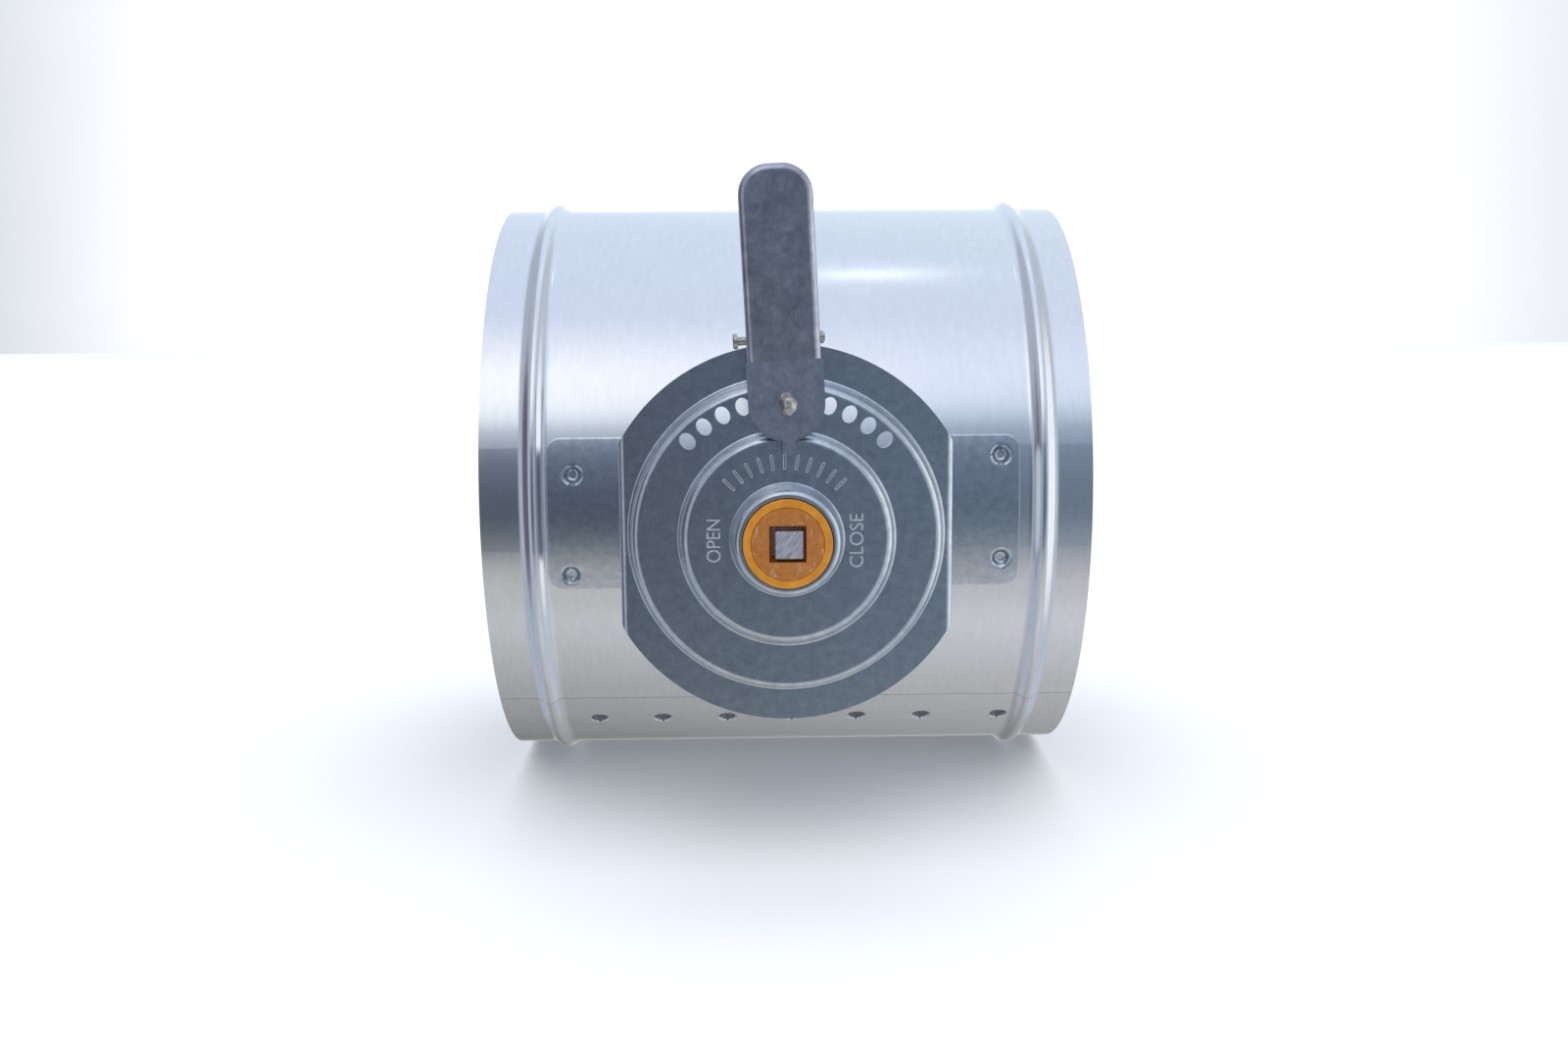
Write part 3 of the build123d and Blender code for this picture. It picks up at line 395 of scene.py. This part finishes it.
# --- Quadrant plate -----------------------------------------------------------------------------
# One pressing of zinc-plated sheet, 1.2 mm thick: a dial in two steps with a collar for the
# shaft's bush, detent holes, two folded legs and two feet clinched down to the sleeve.
PLATE_SHEET = 1.2
DIAL_R, RIM_H = 55.0, 43.4
OUTER_STEP_R, OUTER_RISE = 45.5, 6.6
INNER_STEP_R, INNER_RISE = 30.9, 3.0
STEP_SLANT, ROOT_R, OUTER_CREST_R, INNER_CREST_R = 1.5, 0.8, 2.0, 2.4
BOSS_ROOT_R, BOSS_TOP_R, BOSS_MOUTH_R, BOSS_RISE = 16.1, 14.7, 12.9, 7.0
BOSS_FOOT_R, BOSS_CREST_R = 0.5, 1.6
LEG_X, FOLD_R = 48.3, 1.9
FOOT_END, FOOT_ANGLE, FOOT_CORNER_R = 75.0, 14.0, 4.5
HOLE_CIRCLE_R, HOLE_PITCH, HOLE_COUNT, HOLE_LONG, HOLE_WIDE = 39.5, 9.0, 11, 5.1, 4.1
PLATE_CUP_DEPTH, EDGE_WEAR = 1.9, 0.15
ANNULUS_H = RIM_H + OUTER_RISE
PLATEAU_H = ANNULUS_H + INNER_RISE
BOSS_H = PLATEAU_H + BOSS_RISE
FOLD_X = LEG_X - FOLD_R
FOOT_R = SLEEVE_R + PLATE_SHEET
FLAT_HOLD = 0.12  # a narrow band at the edge of each flat, which keeps the flat's shading flat
FOLD_STEPS, SIDE_STEPS, HOLE_STEP = 84, 8, 1.0  # faces along a fold, beside the holes; degrees past them
BEND_STEPS, LEG_STEPS, FOOT_STEPS, CELL_ROWS, HOLE_LIP = 8, 8, 44, 5, 0.25
CELL_WIDTH = round(HOLE_PITCH / HOLE_STEP)


def rounded_line(corners, radii, steps=6):
    """A line through corners with its inner corners rounded by arcs."""
    line = [Vector(corners[0])]
    for before, corner, after, radius in zip(corners, corners[1:], corners[2:], radii):
        corner = Vector(corner)
        way_in, way_out = (corner - Vector(before)).normalized(), (Vector(after) - corner).normalized()
        turn = way_in.angle_signed(way_out) * -1
        start = corner - way_in * radius * math.tan(abs(turn) / 2)
        across = Vector((-way_in.y, way_in.x)) * math.copysign(1, turn)
        centre = start + across * radius
        for step in range(steps + 1):
            part = turn * step / steps
            spun = Vector((across.x * math.cos(part) - across.y * math.sin(part),
                           across.x * math.sin(part) + across.y * math.cos(part)))
            line.append(centre - spun * radius)
    return line + [Vector(corners[-1])]


def chord_angles():
    """Angles round the dial, from its right side: even along each fold and along each round side."""
    corner = math.acos(FOLD_X / DIAL_R)
    half = FOLD_X * math.tan(corner)
    folded = [math.atan2(half * (2 * i / FOLD_STEPS - 1), FOLD_X) for i in range(FOLD_STEPS)]
    holes_from = math.radians(90 - HOLE_PITCH * HOLE_COUNT / 2)
    arc = [corner + (holes_from - corner) * i / SIDE_STEPS for i in range(SIDE_STEPS)]
    arc += [holes_from + math.radians(HOLE_STEP * i) for i in range(CELL_WIDTH * HOLE_COUNT)]
    arc += [math.pi - holes_from + (holes_from - corner) * i / SIDE_STEPS for i in range(SIDE_STEPS)]
    return folded + arc + [a + math.pi for a in folded] + [a + math.pi for a in arc]


def ring_faces(first, second, count):
    """Faces between two closed rings of points."""
    after = [(i + 1) % count for i in range(count)]
    return [(first + i, first + after[i], second + after[i], second + i) for i in range(count)]


around_dial = chord_angles()
count = len(around_dial)
points, faces = [], []


def ring(radius, height):
    """Adds a ring of points on the dial and returns the place of its first."""
    points.extend((radius * math.cos(a), -(SLEEVE_R + height), radius * math.sin(a)) for a in around_dial)
    return len(points) - count


def steps_between(profile):
    """Adds the spun surface along a profile of (radius, height) points and returns its end rings."""
    rings = [ring(r, h) for r, h in profile]
    for outer, inner in zip(rings, rings[1:]):
        faces.extend(ring_faces(outer, inner, count))
    return rings[0], rings[-1]


hole_row = (HOLE_CIRCLE_R, ANNULUS_H)
outer_step = rounded_line([(OUTER_STEP_R + 2, RIM_H), (OUTER_STEP_R, RIM_H),
                           (OUTER_STEP_R - STEP_SLANT, ANNULUS_H), hole_row],
                          [ROOT_R, OUTER_CREST_R])[1:-1]
inner_step = rounded_line([hole_row, (INNER_STEP_R, ANNULUS_H), (INNER_STEP_R - STEP_SLANT, PLATEAU_H),
                           (BOSS_ROOT_R, PLATEAU_H), (BOSS_TOP_R, BOSS_H), (BOSS_MOUTH_R, BOSS_H)],
                          [ROOT_R, INNER_CREST_R, BOSS_FOOT_R, BOSS_CREST_R])[1:]
rim_ring, _ = steps_between(outer_step + [outer_step[-1] - Vector((FLAT_HOLD, 0))])
annulus_in, _ = steps_between([inner_step[0] + Vector((FLAT_HOLD, 0))] + inner_step)

# The flat ring between the steps: plain faces, and one cell round each detent hole.
cell_in = HOLE_CIRCLE_R - HOLE_LONG / 2 - 2 * HOLE_LIP
cell_out = outer_step[-1].x - FLAT_HOLD
rows = [ring(cell_in + (cell_out - cell_in) * i / CELL_ROWS, ANNULUS_H) for i in range(CELL_ROWS + 1)]
faces += ring_faces(rows[0], annulus_in, count)
first_hole = FOLD_STEPS + SIDE_STEPS
holes_end = first_hole + CELL_WIDTH * HOLE_COUNT
for lower, upper in zip(rows, rows[1:]):
    plain = ring_faces(upper, lower, count)
    faces += plain[:first_hole] + plain[holes_end:]
for step in range(HOLE_COUNT):
    begin = first_hole + CELL_WIDTH * step
    end = begin + CELL_WIDTH
    border = [rows[-1] + i for i in range(begin, end)] + [row + end for row in rows[:0:-1]]
    border += [rows[0] + i for i in range(end, begin, -1)] + [row + begin for row in rows[:-1]]
    turn = math.radians(90 + HOLE_PITCH * (step - (HOLE_COUNT - 1) / 2))
    out = Vector((math.cos(turn), math.sin(turn)))
    across = Vector((-out.y, out.x))
    loops = [border]
    for grow in (HOLE_LIP, 0):
        long, wide = HOLE_LONG / 2 + grow, HOLE_WIDE / 2 + grow
        loops.append(range(len(points), len(points) + len(border)))
        for i in border:
            off = Vector((points[i][0], points[i][2])) - out * HOLE_CIRCLE_R
            a = math.atan2(off.dot(across) / wide, off.dot(out) / long)
            at = out * (HOLE_CIRCLE_R + long * math.cos(a)) + across * wide * math.sin(a)
            points.append((at.x, -(SLEEVE_R + ANNULUS_H), at.y))
    for outside, inside in zip(loops, loops[1:]):
        faces += [(outside[i - 1], outside[i], inside[i], inside[i - 1]) for i in range(len(border))]

# The flat rim, out to the round sides and the folds.
rim_edge = len(points)
for a in around_dial:
    reach = min(DIAL_R, FOLD_X / max(1e-9, abs(math.cos(a))))
    points.append((reach * math.cos(a), -(SLEEVE_R + RIM_H), reach * math.sin(a)))
faces += ring_faces(rim_edge, rim_ring, count)


def side_line(t):
    """One line down a leg and along its foot, at a share t of the half width, in (x, y, z)."""
    line = []
    for i in range(BEND_STEPS + 1):
        turn = math.radians(90 * i / BEND_STEPS)
        x = FOLD_X + FOLD_R * math.sin(turn)
        y = -(SLEEVE_R + RIM_H - FOLD_R + FOLD_R * math.cos(turn))
        line.append((x, y, t * math.sqrt(DIAL_R ** 2 - x ** 2)))
    phi = math.radians(FOOT_ANGLE) * t
    top_y, top_z = line[-1][1:]
    fold_y, fold_z = -(FOOT_R + FOLD_R) * math.cos(phi), (FOOT_R + FOLD_R) * math.sin(phi)
    line += [(LEG_X, top_y + (fold_y - top_y) * i / LEG_STEPS, top_z + (fold_z - top_z) * i / LEG_STEPS)
             for i in range(1, LEG_STEPS + 1)]
    turns = [math.radians(15 * i) for i in range(1, 7)]
    foot = [(LEG_X + FOLD_R * (1 - math.cos(turn)), FOOT_R + FOLD_R * (1 - math.sin(turn))) for turn in turns]
    foot += [(LEG_X + FOLD_R + (FOOT_END - LEG_X - FOLD_R) * i / FOOT_STEPS, FOOT_R)
             for i in range(1, FOOT_STEPS + 1)]
    for x, r in foot:
        half = FOOT_R * math.sin(math.radians(FOOT_ANGLE))
        into = x - (FOOT_END - FOOT_CORNER_R)
        if into > 0:
            half -= FOOT_CORNER_R - math.sqrt(max(0.0, FOOT_CORNER_R ** 2 - into ** 2))
        line.append((x, r, math.asin(half * t / FOOT_R)))
    return line


leg_points = BEND_STEPS + 1 + LEG_STEPS
for side in (-1, 1):
    start = len(points)
    cups = [(abs(x), angle) for x, angle in FOOT_CLINCHES if x * side > 0]
    for i in range(FOLD_STEPS + 1):
        line = side_line(2 * i / FOLD_STEPS - 1)
        for x, y, z in line[:leg_points]:
            points.append((side * x, y, z))
        for x, r, phi in line[leg_points:]:
            r -= sum(PLATE_CUP_DEPTH * dish(math.hypot(x - cx, FOOT_R * (phi - math.radians(ca))), CLINCH_R)
                     for cx, ca in cups)
            points.append((side * x, -r * math.cos(phi), r * math.sin(phi)))
    length = len(line)
    for i in range(FOLD_STEPS):
        for j in range(length - 1):
            first = start + i * length + j
            face = (first, first + 1, first + length + 1, first + length)
            faces.append(face if side > 0 else face[::-1])

# Zinc-plated sheet, pressed: satin, with clouds about 3 mm across and a fine dusty grain.
plated, tree, shader, place = new_material("zinc_plated_pressed_sheet")
mottle = add(tree, "ShaderNodeTexNoise", {"Vector": place},
             Scale=0.35, Detail=8.0, Roughness=0.65).outputs["Fac"]
dust = add(tree, "ShaderNodeTexNoise", {"Vector": place},
           Scale=4.0, Detail=4.0, Roughness=0.7).outputs["Fac"]
skin = tones(tree, mottle, (0.3, "#b9c0c7"), (0.5, "#c6cdd4"), (0.72, "#d5dbe1"))
tree.links.new(skin, shader.inputs["Base Color"])
tree.links.new(spread(tree, dust, 0.19, 0.28), shader.inputs["Roughness"])
shader.inputs["Metallic"].default_value = 1
bump = add(tree, "ShaderNodeBump", {"Height": dust}, Strength=0.15, Distance=0.00002)
tree.links.new(bump.outputs[0], shader.inputs["Normal"])
quadrant = sheet_piece("quadrant", points, faces, PLATE_SHEET, EDGE_WEAR, plated)
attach(quadrant, "casing")
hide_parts("quadrant_plate")
dress(plated, "lever_arm")

# --- Markings on the dial -----------------------------------------------------------------------
# Eleven scale bars and the words OPEN and CLOSE, struck into the plateau of the zinc-plated plate.
# Each bar is a fine raised outline. The words are flat letter shapes that lie just over the plate.
STAMP_RISE, STAMP_LINE = 0.05, 0.20
TICK_MIDDLE_R, TICK_LONG, TICK_WIDE, TICK_SHIFT = 22.3, 4.6, 0.85, -0.6
BAR_POINTS = 16
WORDS = (("OPEN", -20.9, -0.15, 12.3, 4.0), ("CLOSE", 19.65, -0.4, 15.4, 3.9))  # x, z, length, height

# Zinc scuffed on the stamped edges: paler and duller than the sheet round it.
struck, tree, shader, place = new_material("stamped_zinc_edges")
wear = add(tree, "ShaderNodeTexNoise", {"Vector": place},
           Scale=2.5, Detail=4.0, Roughness=0.7).outputs["Fac"]
tree.links.new(tones(tree, wear, (0.35, "#a2a9b1"), (0.6, "#cdd2d9")), shader.inputs["Base Color"])
tree.links.new(spread(tree, wear, 0.42, 0.6), shader.inputs["Roughness"])
shader.inputs["Metallic"].default_value = 0.55


def bar_outline(middle, along, long, wide, line):
    """Points and faces of a rounded bar's outline: a low ridge, with its top and both flanks."""
    across = Vector((-along.y, along.x))
    rings = []
    for inset, rise in ((0, 0), (line * 0.35, STAMP_RISE), (line * 0.65, STAMP_RISE), (line, 0)):
        r, reach = wide / 2 - inset, (long - wide) / 2
        loop = []
        for i in range(BAR_POINTS):
            a = 2 * math.pi * (i + 0.5) / BAR_POINTS
            at = middle + across * r * math.sin(a)
            at += along * (math.copysign(reach, math.cos(a)) + r * math.cos(a))
            loop.append((at.x, -(SLEEVE_R + PLATEAU_H + rise), at.y))
        rings.append(loop)
    flanks = [face for k in range(0, 3 * BAR_POINTS, BAR_POINTS)
              for face in ring_faces(k, k + BAR_POINTS, BAR_POINTS)]
    return [point for loop in rings for point in loop], flanks


points, faces = [], []
for step in range(HOLE_COUNT):
    turn = math.radians(90 - HOLE_PITCH * (step - (HOLE_COUNT - 1) / 2))
    along = Vector((math.cos(turn), math.sin(turn)))
    middle = along * TICK_MIDDLE_R + Vector((TICK_SHIFT, 0))
    more, their_faces = bar_outline(middle, along, TICK_LONG, TICK_WIDE, STAMP_LINE)
    faces += [tuple(len(points) + i for i in face) for face in their_faces]
    points += more
ticks = sheet_piece("scale_ticks", points, faces, 0, 0, struck)
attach(ticks, "casing")

for word, x, z, length, height in WORDS:
    drawn = bpy.data.curves.new("legend", "FONT")
    drawn.body = word
    drawn.align_x, drawn.align_y = "CENTER", "CENTER"
    drawn.size = 1.0
    drawn.extrude = 0.0
    shape = bpy.data.objects.new("legend", drawn)
    scene.collection.objects.link(shape)
    flat_word = bpy.data.meshes.new_from_object(shape.evaluated_get(bpy.context.evaluated_depsgraph_get()))
    bpy.data.objects.remove(shape)
    low_x, high_x = (pick(v.co.x for v in flat_word.vertices) for pick in (min, max))
    low_y, high_y = (pick(v.co.y for v in flat_word.vertices) for pick in (min, max))
    y = -(SLEEVE_R + PLATEAU_H + STAMP_RISE * 0.6)
    points = [(x - ((v.co.y - low_y) / (high_y - low_y) - 0.5) * height, y,
               z + ((v.co.x - low_x) / (high_x - low_x) - 0.5) * length) for v in flat_word.vertices]
    faces = [tuple(polygon.vertices) for polygon in flat_word.polygons]
    legend = sheet_piece("legend_" + word.lower(), points, faces, 0, 0, struck)
    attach(legend, "casing")

# --- Lever --------------------------------------------------------------------------------------
# A pressed steel tray with a flat tongue, zinc plated and tumbled with its batch, so its skin is
# dull, cloudy and finely scratched. It rocks on its pin and carries the locking stud.
SCRATCH_STRENGTH = 0.5

# Zinc plate dulled by tumbling: clouds about 5 mm across, and fine scratches in three directions.
lever_steel, tree, shader, place = new_material("tumbled_zinc_plated_steel")
cloud = add(tree, "ShaderNodeTexNoise", {"Vector": place},
            Scale=0.22, Detail=6.0, Roughness=0.6, Distortion=0.4).outputs["Fac"]
rub = add(tree, "ShaderNodeTexNoise", {"Vector": stretched(tree, place, (1.0, 1.0, 0.35))},
          Scale=1.6, Detail=5.0, Roughness=0.7).outputs["Fac"]
skin = tones(tree, cloud, (0.30, "#9e9fab"), (0.48, "#b0b2bd"), (0.62, "#bec1cb"), (0.78, "#d0d3da"))
scratches = []
for direction in ((1.0, 0.05, 0.12), (0.16, 0.05, 1.0), (0.7, 0.05, 0.75)):
    wave = add(tree, "ShaderNodeTexNoise", {"Vector": stretched(tree, place, direction)},
               Scale=2.2, Detail=2.0, Roughness=0.5, Distortion=1.6).outputs["Fac"]
    faint = add(tree, "ShaderNodeMath", {0: mapped(tree, wave, 0.66, 0.70)}, operation="MULTIPLY")
    faint.inputs[1].default_value = SCRATCH_STRENGTH
    scratches.append(faint.outputs[0])
lines = add(tree, "ShaderNodeMath", {0: scratches[0], 1: scratches[1]}, operation="MAXIMUM").outputs[0]
lines = add(tree, "ShaderNodeMath", {0: lines, 1: scratches[2]}, operation="MAXIMUM").outputs[0]
tree.links.new(mixed(tree, lines, skin, "#d9dbe0"), shader.inputs["Base Color"])
tree.links.new(spread(tree, rub, 0.27, 0.38), shader.inputs["Roughness"])
shader.inputs["Metallic"].default_value = 1
bump = add(tree, "ShaderNodeBump", {"Height": rub}, Strength=0.25, Distance=0.00003)
tree.links.new(bump.outputs[0], shader.inputs["Normal"])
dress(lever_steel, "handle_lever")

# --- Pin, stud, spring, washers and rivets ------------------------------------------------------
# Small turned and stamped steel parts. The pin holds the lever between the arm's ears, the spring
# presses the stud into a hole, and the stud's head is hammered over, so it is lumpy.
STUD_POINTS, DOME_RINGS, DOME_STEP = 28, 8, 12

# Thinly plated steel: bright, with brownish wear in blotches under a millimetre across.
small_steel, tree, shader, place = new_material("plated_turned_steel")
wear = add(tree, "ShaderNodeTexNoise", {"Vector": place},
           Scale=1.4, Detail=5.0, Roughness=0.7).outputs["Fac"]
skin = tones(tree, wear, (0.3, "#9d938c"), (0.5, "#b8b4b0"), (0.7, "#d2d2d4"))
tree.links.new(skin, shader.inputs["Base Color"])
tree.links.new(spread(tree, wear, 0.28, 0.42), shader.inputs["Roughness"])
shader.inputs["Metallic"].default_value = 1
bump = add(tree, "ShaderNodeBump", {"Height": wear}, Strength=0.4, Distance=0.0001)
tree.links.new(bump.outputs[0], shader.inputs["Normal"])
stud_low, stud_high = (corner * 1000 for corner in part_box("lock_stud"))
HEAD_R, HEAD_TALL, HEAD_RISE, HEAD_ROUGH, STUD_R, STUD_TIP = 2.45, 1.2, 2.0, 0.22, 1.7, 0.5
HEAD_SHIFT = Vector((0.6, 0, -2.05))  # the head stands this far off its shank's axis
DENT_SIZE, DENT_PLACE, DOME_FLATTEN = 1.6, Vector((3.1, 0.4, 1.7)), 0.96
shank_at = Vector(((stud_low.x + stud_high.x) / 2, 0, (stud_low.z + stud_high.z) / 2))
head_at = shank_at + HEAD_SHIFT + Vector((0, stud_low.y, 0))
around_stud = [2 * math.pi * i / STUD_POINTS for i in range(STUD_POINTS)]
points, faces = [], []
for radius, y in ((STUD_R - STUD_TIP, stud_high.y), (STUD_R, stud_high.y - STUD_TIP),
                  (STUD_R, stud_low.y + HEAD_RISE + 0.2)):
    points += [(shank_at.x + radius * math.cos(a), y, shank_at.z + radius * math.sin(a)) for a in around_stud]
for step in range(DOME_RINGS):
    lift = math.radians(DOME_STEP * step)
    for a in around_stud:
        way = Vector((math.cos(a) * math.cos(lift), -math.sin(lift), math.sin(a) * math.cos(lift)))
        dent = 1 + HEAD_ROUGH * noise.noise(way * DENT_SIZE + DENT_PLACE)
        reach = Vector((way.x * HEAD_R, HEAD_RISE + way.y * HEAD_RISE * DOME_FLATTEN,
                        way.z * HEAD_R * HEAD_TALL))
        points.append(tuple(head_at + reach * dent - Vector((0, HEAD_RISE * (dent - 1), 0))))
for first in range(0, len(points) - STUD_POINTS, STUD_POINTS):
    faces += [face[::-1] for face in ring_faces(first, first + STUD_POINTS, STUD_POINTS)]
faces += [tuple(reversed(range(len(points) - STUD_POINTS, len(points)))), tuple(range(STUD_POINTS))]
stud = sheet_piece("hammered_stud", points, faces, 0, 0, small_steel)
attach(stud, "handle")
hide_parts("lock_stud")
dress(small_steel, "pivot_pin", "pin_retainer", "handle_spring", "arm_lock_washer",
      "rear_lock_washer", "blade_rivets")

# --- Shaft --------------------------------------------------------------------------------------
# Cold-drawn square bar that turns the blade. It is sawn off square at both ends and filed by hand
# at the dial, so that end is a little smaller and off centre.

# Drawn steel: drawn lines along its sides and diagonal saw marks on its ends.
drawn_steel, tree, shader, place = new_material("drawn_square_steel_bar")
saw = add(tree, "ShaderNodeMapping", {"Vector": place})
saw.inputs["Rotation"].default_value = (0, math.radians(48), 0)
marks = add(tree, "ShaderNodeTexNoise", {"Vector": stretched(tree, saw.outputs[0], (0.25, 0.02, 4.0))},
            Scale=1.0, Detail=5.0, Roughness=0.65).outputs["Fac"]
skin = tones(tree, marks, (0.32, "#8f8d97"), (0.5, "#c3c1ca"), (0.68, "#ececf2"))
tree.links.new(skin, shader.inputs["Base Color"])
tree.links.new(spread(tree, marks, 0.38, 0.52), shader.inputs["Roughness"])
shader.inputs["Metallic"].default_value = 0.8
bump = add(tree, "ShaderNodeBump", {"Height": marks}, Strength=0.5, Distance=0.0001)
tree.links.new(bump.outputs[0], shader.inputs["Normal"])
SHAFT_SIDE, SHAFT_EDGE, SHAFT_END_H, SHAFT_TAIL = 8.6, 0.5, 60.5, 9.0
LOOP_POINTS = 16
FILED_SIDE, FILED_DEPTH, FILED_SHIFT = 7.9, 3.6, (0.45, -0.35)


def square_loop(side, corner, y, shift=(0, 0)):
    """A square with rounded corners across the shaft at y."""
    flat, loop = side / 2 - corner, []
    for quarter in range(4):
        base = math.pi / 2 * quarter
        diagonal = base + math.pi / 4
        middle_x = shift[0] + math.copysign(flat, math.cos(diagonal))
        middle_z = shift[1] + math.copysign(flat, math.sin(diagonal))
        for i in range(4):
            a = base + math.pi / 6 * i
            loop.append((middle_x + corner * math.cos(a), y, middle_z + corner * math.sin(a)))
    return loop


end_y, tail_y = -(SLEEVE_R + SHAFT_END_H), SLEEVE_R + SHAFT_TAIL
loops = [square_loop(FILED_SIDE - 0.5, 0.3, end_y, FILED_SHIFT),
         square_loop(FILED_SIDE, 0.4, end_y + 0.25, FILED_SHIFT),
         square_loop(FILED_SIDE, 0.4, end_y + FILED_DEPTH, FILED_SHIFT),
         square_loop(SHAFT_SIDE, SHAFT_EDGE, end_y + FILED_DEPTH + 0.3),
         square_loop(SHAFT_SIDE, SHAFT_EDGE, tail_y - 0.25), square_loop(SHAFT_SIDE - 0.5, 0.4, tail_y)]
points = [point for loop in loops for point in loop]
faces = [face for first in range(0, len(points) - LOOP_POINTS, LOOP_POINTS)
         for face in ring_faces(first, first + LOOP_POINTS, LOOP_POINTS)]
faces += [tuple(range(LOOP_POINTS)), tuple(reversed(range(len(points) - LOOP_POINTS, len(points))))]
bar = sheet_piece("square_shaft", points, faces, 0, 0, drawn_steel)
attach(bar, "rotor")
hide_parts("shaft")

# --- Bushes -------------------------------------------------------------------------------------
# Injection-moulded acetal bearings. The fixed ring is held in the plate's collar or in the sleeve,
# and the hub turns in it with the square shaft.

# Moulded acetal: smooth and softly glossy, an even amber.
ring_plastic, tree, shader, place = new_material("moulded_amber_acetal")
flow = add(tree, "ShaderNodeTexNoise", {"Vector": place},
           Scale=0.3, Detail=3.0, Roughness=0.5).outputs["Fac"]
amber = tones(tree, flow, (0.3, "#bf770c"), (0.5, "#c98115"), (0.7, "#d28d24"))
tree.links.new(amber, shader.inputs["Base Color"])
tree.links.new(spread(tree, flow, 0.32, 0.44), shader.inputs["Roughness"])
dress(ring_plastic, "dial_bush_ring", "front_bush_ring", "rear_bush_ring")

# Acetal rubbed dull by its ring: browner, with pale smears.
hub_plastic, tree, shader, place = new_material("rubbed_amber_acetal")
flow = add(tree, "ShaderNodeTexNoise", {"Vector": place},
           Scale=0.35, Detail=5.0, Roughness=0.65, Distortion=0.8).outputs["Fac"]
smear = add(tree, "ShaderNodeTexNoise", {"Vector": stretched(tree, place, (0.5, 0.5, 0.22))},
            Scale=1.0, Detail=6.0, Roughness=0.7, Distortion=1.2).outputs["Fac"]
amber = tones(tree, flow, (0.3, "#9f5c17"), (0.5, "#a96722"), (0.7, "#b37834"))
smeared = mixed(tree, mapped(tree, smear, 0.57, 0.72), amber, "#b8a18c")
tree.links.new(smeared, shader.inputs["Base Color"])
tree.links.new(spread(tree, smear, 0.36, 0.55), shader.inputs["Roughness"])
dress(hub_plastic, "dial_bush_hub", "front_bush_hub", "rear_bush_hub")
